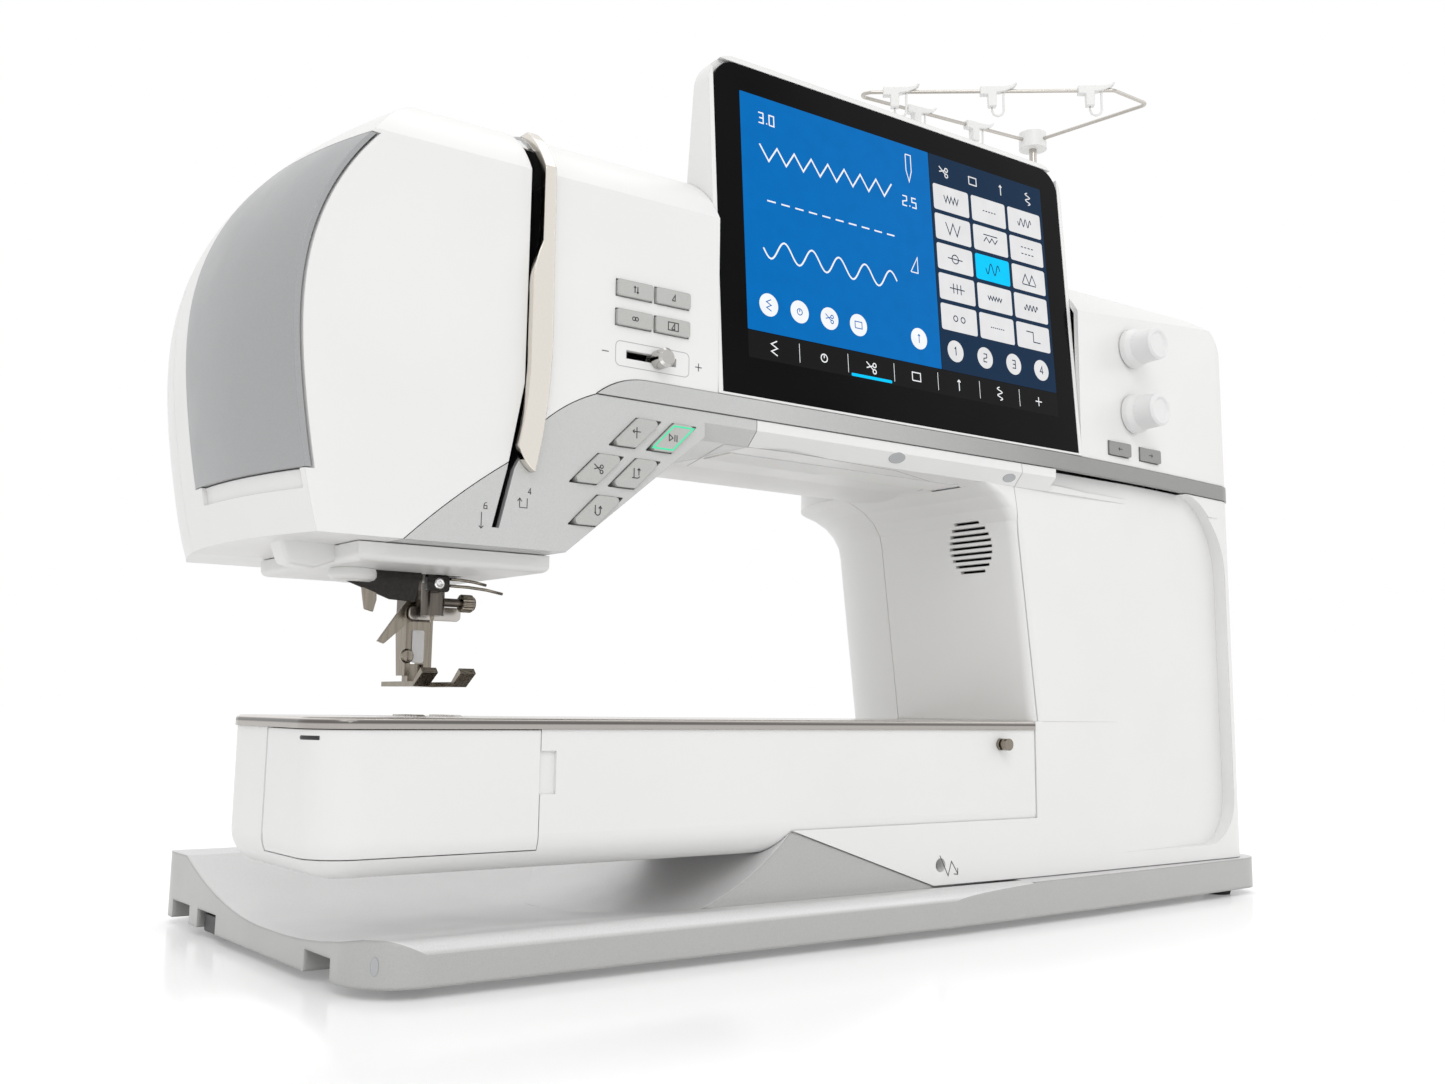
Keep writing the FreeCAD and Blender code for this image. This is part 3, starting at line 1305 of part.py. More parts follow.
def knob(label, z):
    """Ribbed knob on a spindle through the cover."""
    body = turned(label, "y", [
        ("-knob_length + key_round", "0"), ("-knob_length + key_round", "knob_tip_radius - 3 * key_round"),
        ("-knob_length", "knob_tip_radius - 2 * key_round"), ("-knob_length", "knob_tip_radius - key_round"),
        ("-knob_length + key_round", "knob_tip_radius"), ("-key_depth", "knob_tip_radius + key_round / 2"),
        ("-key_depth / 2", "knob_radius"), ("0", "knob_radius"), ("0", "knob_spindle"),
        ("2 * wall + key_depth", "knob_spindle"), ("2 * wall + key_depth", "0")])
    cut_ring = circle(body, "XZ_Plane", "0", "knob_tip_radius + key_round", "knob_rib_radius", "key_depth")
    groove = pocket(body, cut_ring, "knob_length", reverse=True)
    fluted(body, "Y_Axis", groove, "knob_ribs")
    face = "body_front + (knob_x - knob_radius - bow_start) * %s - bow_rise - seam" % FRONT_SLOPE
    return keep(place(body, "knob_x", face, z))


# Free arm
def free_arm():
    """White shell of the free arm and the bobbin door that closes its front left corner."""
    skin = free_arm_form(0).cut(free_arm_form(-S.wall))
    door_zone = slab((-FAR, S.door_right), (-FAR, S.door_back), (S.door_low, FAR))
    stud = rod(Vector(S.stud_x, S.bed_front - 1, S.stud_z), Y_AXIS, S.stud_radius + S.running, 4 * S.wall)
    notch = slab((S.door_right - 1, S.door_right + S.notch_depth), (-FAR, S.bed_front + S.wall / 2),
                 (S.notch_z - S.notch_height / 2, S.notch_z + S.notch_height / 2))
    feature("free_arm_shell", skin.cut([door_zone, stud, notch]))
    half = S.wall / 2
    axis = Vector(S.bed_left + half, S.door_back - S.seam - half, S.bed_bottom + S.bed_round)
    inner_zone = slab((-FAR, S.door_right - S.seam), (-FAR, axis.y),
                      (S.door_low + S.seam, S.bed_top - S.seam))
    barrel = rod(axis, Z_AXIS, half, S.bed_top - S.seam - axis.z)
    pin = rod(axis, Z_AXIS, S.hinge_pin, S.bed_top + S.hinge_reach - S.seam - axis.z)
    feature("bobbin_door", skin.common(inner_zone).fuse([barrel, pin]))


def bed_plate():
    """Steel bed with the seat of the needle plate."""
    body = new_body("bed_plate")
    left, right = "bed_left - plate_edge", "column_left - seam"
    front, back = "bed_front - plate_edge", "bed_back + plate_edge"
    pad(body,
        polygon(body, "XY_Plane", [(left, front), (right, front), (right, back), (left, back)], "bed_top"),
        "plate_thick")
    upright = runs_along(Z_AXIS)
    west = S.bed_left - S.plate_edge
    round_edges(body, "bed_corner + plate_edge", lambda e: upright(e) and e.CenterOfMass.x < west + S.wall)
    high = S.bed_top + S.plate_thick
    round_edges(body, "plate_round",
                lambda e: e.BoundBox.ZMin > high - TINY and e.CenterOfMass.x < S.column_left - S.wall)
    seat = [("stitch_left", "stitch_front"), ("stitch_right", "stitch_front"),
            ("stitch_right", "stitch_back"), ("stitch_left", "stitch_back")]
    pocket(body, polygon(body, "XY_Plane", seat, "bed_top + plate_thick"), "stitch_thick")
    well = [("stitch_left + 2 * wall", "stitch_front + 2 * wall"),
            ("stitch_right - 2 * wall", "stitch_front + 2 * wall"),
            ("stitch_right - 2 * wall", "stitch_back - 2 * wall"),
            ("stitch_left + 2 * wall", "stitch_back - 2 * wall")]
    pocket(body, polygon(body, "XY_Plane", well, "bed_top + plate_thick"), "2 * plate_thick")
    hinge = circle(body, "XY_Plane", "bed_left + wall / 2", "door_back - seam - wall / 2",
                   "hinge_pin + running",
                   "bed_top")
    pocket(body, hinge, "hinge_reach", reverse=True)
    return keep(body)


def needle_plate():
    body = new_body("needle_plate")
    outline = [("stitch_left + slip", "stitch_front + slip"), ("stitch_right - slip", "stitch_front + slip"),
               ("stitch_right - slip", "stitch_back - slip"), ("stitch_left + slip", "stitch_back - slip")]
    top = "bed_top + plate_thick"
    pad(body, polygon(body, "XY_Plane", outline, top + " - stitch_thick"), "stitch_thick")
    hole = [("needle_x - needle_slot / 2", "needle_y - needle_slot_width / 2"),
            ("needle_x + needle_slot / 2", "needle_y - needle_slot_width / 2"),
            ("needle_x + needle_slot / 2", "needle_y + needle_slot_width / 2"),
            ("needle_x - needle_slot / 2", "needle_y + needle_slot_width / 2")]
    pocket(body, polygon(body, "XY_Plane", hole, top), "2 * stitch_thick")
    for side in (-1, 1):
        middle = "needle_x + %d * feed_pitch" % side
        slot = [(middle + " %s (feed_width / 2 + slip)" % a, "needle_y %s (feed_length / 2 + slip)" % b)
                for a, b in (("-", "-"), ("+", "-"), ("+", "+"), ("-", "+"))]
        pocket(body, polygon(body, "XY_Plane", slot, top), "2 * stitch_thick")
    return keep(body)


FEED_TEETH = 9


def feed_dog():
    """Two toothed rows on a cross bar, with a hole for the needle."""
    body = new_body("feed_dog")
    bar = [("-feed_length / 2", "-2 * feed_width - feed_bar"),
           ("feed_length / 2", "-2 * feed_width - feed_bar"),
           ("feed_length / 2", "-2 * feed_width"), ("-feed_length / 2", "-2 * feed_width")]
    pad(body, polygon(body, "YZ_Plane", bar), "2 * feed_pitch + feed_width", both_ways=True)
    row = [("feed_length / 2", "-2 * feed_width"), ("-feed_length / 2", "-2 * feed_width")]
    for i in range(FEED_TEETH):
        row.append(("-feed_length / 2 + %d * feed_length / %d" % (i, FEED_TEETH), "-feed_proud"))
        row.append(("-feed_length / 2 + %d * feed_length / %d" % (i + 1, FEED_TEETH), "0"))
    teeth = pad(body, polygon(body, "YZ_Plane", row, "-feed_pitch - feed_width / 2"), "feed_width")
    pair = body.newObject("PartDesign::LinearPattern", "feed_dog_rows")
    pair.Originals = [teeth]
    pair.Direction = (origin_part(body, "X_Axis"), [""])
    pair.Occurrences = 2
    bind(pair, Length="2 * feed_pitch")
    body.Tip = pair
    doc.recompute()
    passage = polygon(body, "XY_Plane", square("needle_slot", "needle_slot"), "-2 * feed_width")
    pocket(body, passage, "feed_width")
    return keep(place(body, "needle_x", "needle_y", "bed_top + plate_thick + feed_proud"))


def table_stud():
    body = turned("table_stud", "y", [
        ("-stud_length", "0"), ("-stud_length", "stud_radius"), ("-stud_length / 2", "stud_radius"),
        ("-stud_length / 2", "stud_radius / 2"), ("-stud_length / 4", "stud_radius / 2"),
        ("-stud_length / 4", "stud_radius"), ("2 * wall", "stud_radius"), ("2 * wall", "0")])
    return keep(place(body, "stud_x", "bed_front", "stud_z"))


# Needle and presser
def needle_bar():
    """Needle bar with its driving stud, and the link up to the crank."""
    bar = cylinder("needle_bar_rod", "z", "bar_radius", "needle_bar_low", "needle_bar_high", "needle_x",
                   "needle_y")
    low = "shaft_z + crank_throw - link_length"
    link_right = "crank_left - link_gap"
    link_left = link_right + " - link_thick"
    ring = cylinder("needle_bar_ring", "z", "ring_share * bar_radius", low + " - bar_radius",
                    low + " + bar_radius",
                    "needle_x", "needle_y")
    stud = cylinder("needle_bar_stud", "x", "stud_share * bar_radius", "needle_x", link_right, "needle_y",
                    low)
    eye = cylinder("link_low_eye", "x", "eye_share * bar_radius", link_left, link_right, "needle_y", low)
    top_eye = cylinder("link_top_eye", "x", "eye_share * bar_radius", link_left, link_right, "needle_y",
                       "shaft_z + crank_throw")
    stem = block("link_stem", (link_left, link_right), ("needle_y - bar_radius", "needle_y + bar_radius"),
                 (low, "shaft_z + crank_throw"))
    return keep(fuse("needle_bar", [bar, ring, stud, eye, top_eye, stem]))


def needle_clamp():
    """Clamp at the foot of the needle bar, with its thumb screw."""
    high = "clamp_low + clamp_height"
    form = cylinder("clamp_form", "z", "clamp_radius", "clamp_low", high, "needle_x", "needle_y")
    seat = cylinder("clamp_bar_bore", "z", "bar_radius + running", "needle_bar_low", high + " + wall",
                    "needle_x", "needle_y")
    hole = cylinder("clamp_needle_bore", "z", "needle_shank + running", "clamp_low - wall",
                    "needle_bar_low + wall",
                    "needle_x", "needle_y")
    screw = cylinder("clamp_screw", "x", "screw_radius", "needle_x + clamp_radius / 2",
                     "needle_x + clamp_radius + screw_length", "needle_y", "screw_z")
    head = cylinder("clamp_screw_head", "x", "screw_head", "needle_x + clamp_radius + screw_stem",
                    "needle_x + clamp_radius + screw_length", "needle_y", "screw_z")
    bored = cut("clamp_bored", cut("clamp_seated", form, seat), hole)
    return keep(fuse("needle_clamp", [bored, screw, head]))


def needle():
    body = turned("needle", "z", [
        ("needle_tip", "0"), ("needle_tip + 8 * needle_radius", "needle_radius"),
        ("clamp_low - 2 * needle_shank", "needle_radius"), ("clamp_low - needle_shank", "needle_shank"),
        ("needle_bar_low - slip", "needle_shank"), ("needle_bar_low - slip", "0")])
    return keep(place(body, "needle_x", "needle_y"))


def presser_bar():
    """Presser bar with the clamp block that takes the foot."""
    y = "needle_y + presser_gap"
    bar = cylinder("presser_rod", "z", "bar_radius", "presser_low", "presser_high", "needle_x", y)
    clamp = block("presser_clamp", ("needle_x - presser_block_half", "needle_x + presser_block_half"),
                  (y + " - presser_block_deep", y + " + presser_block_deep"),
                  ("presser_low", "presser_low + 4 * bar_radius"))
    pin = cylinder("presser_lever_bore", "y", "ankle_pin + running", y + " - 2 * bar_radius", y,
                   "needle_x - bar_radius",
                   "presser_low + 2 * bar_radius")
    return keep(cut("presser_bar", fuse("presser_bar_solid", [bar, clamp]), pin))


def presser_foot():
    """Shank of the foot: a tapered leg with a fork and pin for the sole."""
    y = "needle_y + presser_gap"
    body = new_body("presser_foot")
    leg = [(y + " - presser_block_deep", "presser_low"), (y + " + presser_block_deep", "presser_low"),
           (y + " + ankle_width / 2", "ankle_z - ankle_foot"), (y + " - ankle_width", "ankle_z - ankle_foot")]
    pad(body, polygon(body, "YZ_Plane", leg), "2 * ankle_width", both_ways=True)
    gap = [(y + " - 2 * ankle_width", "0"), (y + " + 2 * ankle_width", "0"),
           (y + " + 2 * ankle_width", "ankle_z + 3 * ankle_pin"),
           (y + " - 2 * ankle_width", "ankle_z + 3 * ankle_pin")]
    pocket(body, polygon(body, "YZ_Plane", gap), "ankle_width + 2 * slip", both_ways=True)
    pad(body, circle(body, "YZ_Plane", y, "ankle_z", "ankle_pin"), "2 * ankle_width", both_ways=True)
    return keep(place(body, "needle_x"))


def presser_sole():
    """Steel sole with two upturned toes and the ear that hangs on the ankle pin."""
    y = "needle_y + presser_gap"
    top = "foot_sole + sole_thick"
    toe_y = "sole_back - sole_length"
    body = new_body("presser_sole")
    side = [("sole_back", "foot_sole"), ("sole_back", top), (toe_y, top),
            (toe_y + " - toe_length", top + " + toe_rise"),
            (toe_y + " - toe_length - sole_thick", "foot_sole + toe_rise"), (toe_y, "foot_sole")]
    pad(body, polygon(body, "YZ_Plane", side), "sole_width", both_ways=True)
    gap = [("-sole_gap_width / 2", "-base_back"), ("sole_gap_width / 2", "-base_back"),
           ("sole_gap_width / 2", "sole_gap_back"), ("-sole_gap_width / 2", "sole_gap_back")]
    pocket(body, polygon(body, "XY_Plane", gap, "presser_low"), "presser_low")
    ear = [(y + " - ankle_width / 2", "foot_sole"), (y + " + ankle_width / 2", "foot_sole"),
           (y + " + ankle_width / 2", "ankle_z + 2 * ankle_pin"),
           (y + " - ankle_width / 2", "ankle_z + 2 * ankle_pin")]
    pad(body, polygon(body, "YZ_Plane", ear), "ankle_width", both_ways=True)
    pocket(body, circle(body, "YZ_Plane", y, "ankle_z", "ankle_pin + running"), "2 * ankle_width",
           both_ways=True)
    return keep(place(body, "needle_x"))


def presser_lever():
    """Clamp lever: a flat finger in front of the clamp block on a pin along Y."""
    body = new_body("presser_lever")
    finger = [("ankle_width / 2", "ankle_width / 2"), ("-ankle_width / 2", "ankle_width / 2"),
              ("-lever_length / 2", "-lever_length / 2"),
              ("-lever_length / 2 + ankle_width / 2", "-lever_length / 2 - lever_tip"),
              ("ankle_width / 2", "-ankle_width / 2")]
    pad(body, polygon(body, "XZ_Plane", finger, "slip"), "bar_radius / 2")
    pin = circle(body, "XZ_Plane", "0", "0", "ankle_pin", "-bar_radius")
    pad(body, pin, "bar_radius + slip")
    y = "needle_y + presser_gap - presser_block_deep"
    return keep(place(body, "needle_x - bar_radius", y, "presser_low + 2 * bar_radius"))


# Drive
def machine_frame():
    """Casting: post, beam with shaft bearings, keel with gear housing, needle bar guide and motor plate."""
    y = ("beam_front", "beam_back")
    post_right = "post_left + post_width"
    wall_y = ("needle_y - shaft_radius - bearing_rim", "beam_back")
    wall_z = ("beam_low", "shaft_z + shaft_radius + bearing_rim")
    bar_x = ("needle_x - bar_radius - bearing_thick / 3", "needle_x + bar_radius + bearing_thick / 3")
    bar_y = ("needle_y - bar_radius - bearing_thick / 3", "beam_back")
    pieces = [
        block("frame_post", ("post_left", post_right), y, ("base_top", "beam_high")),
        block("frame_beam", ("beam_left", "bearing_right + bearing_thick"), y, ("beam_low", "beam_high")),
        block("frame_left_bearing", ("beam_left", "beam_left + bearing_thick"), wall_y, wall_z),
        block("frame_right_bearing", ("bearing_right", "bearing_right + bearing_thick"), wall_y, wall_z),
        block("frame_keel", ("keel_left", post_right), ("keel_front", "keel_back"),
              ("keel_low", "keel_high")),
        block("frame_gearbox", ("needle_x - gearbox_half", "needle_x + gearbox_half"),
              ("keel_front", "gearbox_back"),
              ("keel_high", "gearbox_high")),
        block("frame_motor_plate", (post_right + " - guide_thick", post_right),
              ("beam_back - casting_lap", "motor_y + motor_radius"),
              ("motor_z - motor_radius", "motor_z + motor_radius")),
        block("frame_guide_plate", ("guide_left", "beam_left + casting_lap"),
              ("beam_back - guide_thick", "beam_back"),
              ("guide_low", "guide_high")),
        block("frame_low_boss", bar_x, bar_y, ("guide_low", "guide_low + guide_boss")),
        block("frame_high_boss", bar_x, bar_y, ("guide_high - guide_boss", "guide_high")),
    ]
    bores = [
        cylinder("bore_main", "x", "shaft_radius + running", "beam_left - wall", "base_right", "needle_y",
                 "shaft_z"),
        cylinder("bore_lower", "x", "lower_radius + running", "needle_x + gearbox_half / 2", "base_right",
                 "lower_y", "hook_z"),
        cylinder("bore_hook", "y", "lower_radius + running", "keel_front - wall",
                 "lower_y - lower_radius - slip",
                 "needle_x", "hook_z"),
        cylinder("bore_needle_bar", "z", "bar_radius + running", "0", "arm_top", "needle_x", "needle_y"),
        cylinder("bore_presser_bar", "z", "bar_radius + running", "gearbox_high + wall", "arm_top",
                 "needle_x",
                 "needle_y + presser_gap"),
    ]
    return keep(cut("machine_frame", fuse("frame_solid", pieces), group("frame_bores", bores)))


def main_shaft():
    """Upper shaft with crank disc and belt pulley."""
    belt_end = "timing_x + belt_width"
    body = turned("main_shaft", "x", [
        ("crank_left", "0"), ("crank_left", "crank_radius"), ("crank_left + crank_thick", "crank_radius"),
        ("crank_left + crank_thick", "shaft_radius"), ("timing_x", "shaft_radius"),
        ("timing_x", "timing_radius"),
        (belt_end, "timing_radius"), (belt_end, "shaft_radius"),
        ("body_right - wall", "shaft_radius"), ("body_right - wall", "0")])
    return keep(place(body, y="needle_y", z="shaft_z"))


def handwheel():
    inner = "body_right - 4 * wall"
    body = turned("handwheel", "x", [
        (inner, "shaft_radius + running"), (inner, "wheel_radius - wall"),
        (inner + " + wall", "wheel_radius"),
        ("wheel_face - wall", "wheel_radius"), ("wheel_face", "wheel_radius - wall"),
        ("wheel_face - wall", "wheel_radius - 3 * wall"), ("wheel_face - wall", "0"),
        ("body_right - wall + seam", "0"), ("body_right - wall + seam", "shaft_radius + running")])
    spot = circle(body, "YZ_Plane", "0", "wheel_radius + wheel_flute / 2", "wheel_flute", "body_right")
    fluted(body, "X_Axis", pocket(body, spot, "12 * wall", both_ways=True), "wheel_flutes")
    return keep(place(body, y="needle_y", z="shaft_z"))


def lower_shaft():
    belt_end = "timing_x + belt_width"
    body = turned("lower_shaft", "x", [
        ("needle_x + gearbox_half / 2 + slip", "0"), ("needle_x + gearbox_half / 2 + slip", "lower_radius"),
        ("timing_x", "lower_radius"), ("timing_x", "timing_radius"), (belt_end, "timing_radius"),
        (belt_end, "0")])
    return keep(place(body, y="lower_y", z="hook_z"))


def rotary_hook():
    """Cup with a pintle to the front and a drive shaft to the back."""
    rim = "needle_y + 4 * needle_radius"
    floor = rim + " + hook_depth"
    body = turned("rotary_hook", "y", [
        ("case_front + wall", "0"), ("case_front + wall", "pintle"), (floor + " - wall", "pintle"),
        (floor + " - wall", "hook_radius - wall"), (rim, "hook_radius - wall"), (rim, "hook_radius"),
        (floor, "hook_radius"), (floor, "lower_radius"),
        ("lower_y - lower_radius - 2 * slip", "lower_radius"),
        ("lower_y - lower_radius - 2 * slip", "0")])
    return keep(place(body, "needle_x", "0", "hook_z"))


def bobbin_case():
    back = "case_back - wall"
    body = turned("bobbin_case", "y", [
        ("case_back", "pintle + running"), ("case_back", "case_radius"),
        ("case_back - 8 * wall", "case_radius"),
        ("case_back - 8 * wall", "bobbin_radius + slip"), (back, "bobbin_radius + slip"),
        (back, "pintle + running")])
    return keep(place(body, "needle_x", "0", "hook_z"))


def bobbin():
    start = "case_back - wall - slip"
    rim = "wall / 2"
    body = turned("bobbin", "y", [
        (start, "pintle + running"), (start, "bobbin_radius"), (start + " - " + rim, "bobbin_radius"),
        (start + " - " + rim, "bobbin_core"), (start + " - bobbin_width + " + rim, "bobbin_core"),
        (start + " - bobbin_width + " + rim, "bobbin_radius"), (start + " - bobbin_width", "bobbin_radius"),
        (start + " - bobbin_width", "pintle + running")])
    return keep(place(body, "needle_x", "0", "hook_z"))


def motor():
    start = "post_left + post_width"
    end = start + " + motor_length"
    body = turned("motor", "x", [
        (start, "0"), (start, "motor_radius"), (end + " - wall", "motor_radius"),
        (end, "motor_radius - wall"),
        (end, "pinion_shaft + running"),
        (end + " - 4 * wall", "pinion_shaft + running"), (end + " - 4 * wall", "0")])
    return keep(place(body, y="motor_y", z="motor_z"))


def motor_pulley():
    start = "post_left + post_width + motor_length - 4 * wall + slip"
    end = "timing_x + belt_width"
    body = turned("motor_pulley", "x", [
        (start, "0"), (start, "pinion_shaft"), ("timing_x", "pinion_shaft"), ("timing_x", "pinion_radius"),
        (end, "pinion_radius"), (end, "0")])
    return keep(place(body, y="motor_y", z="motor_z"))


def belt_loop(wheels):
    """Face inside a belt run round wheels given as (centre, radius) in turning order."""
    count = len(wheels)
    normals = []
    for i in range(count):
        (start, first), (end, second) = wheels[i], wheels[(i + 1) % count]
        run = end - start
        length = run.Length
        run.normalize()
        lean = (first - second) / length
        outward = Vector(0, run.z, -run.y)
        normals.append(run * lean + outward * math.sqrt(1 - lean ** 2))
    edges = []
    for i in range(count):
        centre, radius = wheels[i]
        before, after = normals[i - 1], normals[i]
        middle = before + after
        middle.normalize()
        points = [centre + n * radius for n in (before, middle, after)]
        edges.append(Part.Arc(*points).toShape())
        next_centre, next_radius = wheels[(i + 1) % count]
        edges.append(Part.makeLine(points[2], next_centre + after * next_radius))
    return Part.Face(Part.Wire(edges))


def timing_belt():
    """Belt from the motor to the upper and lower shafts."""
    def wheels(extra):
        return [(Vector(0, S.lower_y, S.hook_z), S.timing_radius + extra),
                (Vector(0, S.motor_y, S.motor_z), S.pinion_radius + extra),
                (Vector(0, S.needle_y, S.shaft_z), S.timing_radius + extra)]
    low, high = S.timing_x, S.timing_x + S.belt_width
    loop = prism("yz", belt_loop(wheels(S.slip + S.belt_thick)), low, high)
    return feature("timing_belt", loop.cut(prism("yz", belt_loop(wheels(S.slip)), low - 1, high + 1)))


# Lamp, thread stand, rear and right side
def lamp_lens():
    return keep(block("lamp_lens", ("lamp_left", "lamp_right"), ("lamp_front", "lamp_back"),
                      ("arm_bottom - slip", "arm_bottom + wall")))


def stand_mast():
    body = turned("stand_mast", "z", [
        ("mast_low", "0"), ("mast_low", "mast_radius"), ("stand_z - block_height / 2", "mast_radius"),
        ("stand_z - block_height / 2", "0")])
    return keep(place(body, "mast_x", "mast_y"))


def bent_wire(points, radius, bend):
    """Round wire through points, turned on arcs at its corners."""
    pieces = []
    here = points[0]
    for before, corner, after in zip(points, points[1:], points[2:]):
        to_before, to_after = before - corner, after - corner
        to_before.normalize()
        to_after.normalize()
        half = to_before.getAngle(to_after) / 2
        reach = bend / math.tan(half)
        start, end = corner + to_before * reach, corner + to_after * reach
        inward = to_before + to_after
        inward.normalize()
        centre = corner + inward * (bend / math.sin(half))
        pieces.append(rod(here, start - here, radius, (start - here).Length))
        disc = Part.Face(Part.Wire([Part.makeCircle(radius, start, to_before)]))
        turn = math.degrees(math.pi - 2 * half)
        pieces.append(disc.revolve(centre, to_after.cross(to_before), turn))
        here = end
    pieces.append(rod(here, points[-1] - here, radius, (points[-1] - here).Length))
    return pieces[0].fuse(pieces[1:])


def loop_points():
    """Corners of the wire loop, from the block round to the block again."""
    middle = Vector(S.mast_x, S.mast_y, S.stand_z)
    front = middle + Vector(S.block_radius, -S.loop_front, 0)
    nose = middle + Vector(-S.loop_nose, -S.loop_front, 0)
    left = middle + Vector(-S.loop_left, S.loop_back, 0)
    heel = left + Vector(-S.loop_bend, S.loop_heel, 0)
    return middle, front, nose, left, heel


def stand_wire():
    middle, front, nose, left, heel = loop_points()
    def leave(end):
        way = end - middle
        way.normalize()
        return middle + way * S.block_radius
    return feature("stand_wire", bent_wire([leave(front), front, nose, left, heel, leave(heel)],
                                           S.wire_radius, S.loop_bend))


CLIPS_FRONT = (0.1, 0.5, 0.9)
CLIPS_BACK = (0.35, 0.68)


def stand_clips():
    """White block on the mast and the hooked clips on the wire."""
    middle, front, nose, left, heel = loop_points()
    half, drop = S.clip_width / 2, S.clip_drop
    pieces = [rod(middle - Z_AXIS * (S.block_height / 2), Z_AXIS, S.block_radius, S.block_height)]
    for start, end, shares in ((nose, left, CLIPS_FRONT), (middle, heel, CLIPS_BACK)):
        way = end - start
        for share in shares:
            clip = slab((-half, half), (-half, half), (-drop, half))
            clip = clip.cut([rod(Vector(-FAR / 2, 0, 0), X_AXIS, S.wire_radius + S.running, FAR),
                             slab((-FAR, FAR), (-half / 3, FAR), (-drop + half, -half))])
            clip.Placement = Placement(start + way * share, Rotation(X_AXIS, way))
            pieces.append(clip)
    return feature("stand_clips", Part.makeCompound(pieces))


def spool_pins():
    pins = []
    for i in range(int(S.spool_count)):
        x = "spool_x + %d * spool_pitch" % i
        pin = cylinder("spool_pin%d" % i, "z", "spool_radius", "arm_top", "arm_top + spool_height", x,
                       "spool_y")
        seat = cylinder("spool_seat%d" % i, "z", "spool_seat", "arm_top", "arm_top + wall", x, "spool_y")
        pins.append(fuse("spool%d" % i, [pin, seat]))
    return keep(group("spool_pins", pins))


def mains_inlet():
    y = ("inlet_y - inlet_width / 2", "inlet_y + inlet_width / 2")
    z = ("inlet_z - inlet_height / 2", "inlet_z + inlet_height / 2")
    shell_block = block("inlet_block", ("body_right - inlet_depth", "body_right"), y, z)
    well = block("inlet_well", ("body_right - inlet_depth + wall", "body_right + wall"),
                 (y[0] + " + wall", y[1] + " - wall"), (z[0] + " + wall", z[1] + " - wall"))
    return keep(cut("mains_inlet", shell_block, well))


def power_switch():
    """Rocker with two sloping halves on a pivot along Y."""
    body = new_body("power_switch")
    half = "rocker_height / 2 - slip"
    back = half + " - rocker_throw"
    side = [("-3 * rocker_throw", "-(%s)" % back), ("rocker_throw + wall / 2", "-(%s)" % half),
            ("wall / 2", "0"),
            ("rocker_throw + wall / 2", half), ("-3 * rocker_throw", back)]
    pad(body, polygon(body, "XZ_Plane", side), "rocker_width", both_ways=True)
    pad(body, circle(body, "XZ_Plane", "0", "0", "hinge_pin"), "rocker_width + 2 * wall", both_ways=True)
    body.Placement = Placement(Vector(), Rotation(Y_AXIS, S.rocker_tilt))
    bind(body, Placement__Rotation__Angle="rocker_tilt")
    return keep(place(body, "body_right - wall / 2", "inlet_y", "rocker_z"))


# Build
def build():
    shell = body_shell()
    base_plate()
    base_feet()
    arm_front_cover(shell)
    head_face_cover(shell)
    head_side_panel()
    control_panel(shell)
    trim_band()
    throat_cover(shell)
    column_front_cover(shell)
    rear_cover(shell)
    head_base()
    take_up_liner()
    take_up_lever()
    take_up_guard()
    screen_housing()
    screen_glass()
    all_keys()
    speed_slider()
    knob("knob_upper", "knob_z_high")
    knob("knob_lower", "knob_z_low")
    free_arm()
    bed_plate()
    needle_plate()
    feed_dog()
    table_stud()
    needle_bar()
    needle_clamp()
    needle()
    presser_bar()
    presser_foot()
    presser_sole()
    presser_lever()
    machine_frame()
    main_shaft()
    handwheel()
    lower_shaft()
    rotary_hook()
    bobbin_case()
    bobbin()
    motor()
    motor_pulley()
    timing_belt()
    lamp_lens()
    stand_mast()
    stand_wire()
    stand_clips()
    spool_pins()
    mains_inlet()
    power_switch()
    doc.recompute()


def check():
    """Stop if any feature failed or any piece is empty or broken."""
    failed = [thing.Name for thing in doc.Objects if "Invalid" in thing.State or "Error" in thing.State]
    for node in NODES:
        if node.Shape.isNull() or not node.Shape.isValid() or not node.Shape.Solids:
            failed.append(node.Label)
    if failed:
        raise RuntimeError("failed: " + ", ".join(failed))


def write():
    os.makedirs("parts", exist_ok=True)
    for node in NODES:
        node.Shape.exportStep("parts/%s.step" % node.Label)


build()
check()
write()
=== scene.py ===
"""Looks of the free-arm sewing machine: finishes, screen picture, marks, small fittings, light and camera.

Frame: +X to the right, +Y to the back, +Z up, metres. Sizes in the tables are millimetres.
"""
import math

import bmesh
import bpy
from mathutils import Matrix, Vector


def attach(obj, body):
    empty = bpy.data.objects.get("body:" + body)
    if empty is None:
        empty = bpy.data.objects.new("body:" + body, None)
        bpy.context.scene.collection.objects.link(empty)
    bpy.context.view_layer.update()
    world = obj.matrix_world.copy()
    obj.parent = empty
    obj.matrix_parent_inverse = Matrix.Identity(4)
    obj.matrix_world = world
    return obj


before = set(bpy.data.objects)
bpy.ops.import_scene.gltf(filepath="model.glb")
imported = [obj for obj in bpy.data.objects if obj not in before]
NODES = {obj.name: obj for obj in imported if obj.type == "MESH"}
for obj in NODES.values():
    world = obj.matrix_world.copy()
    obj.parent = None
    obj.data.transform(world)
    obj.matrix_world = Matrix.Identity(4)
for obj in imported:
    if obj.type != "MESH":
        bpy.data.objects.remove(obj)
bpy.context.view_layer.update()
MM = 0.001
WHITE = (1, 1, 1, 1)


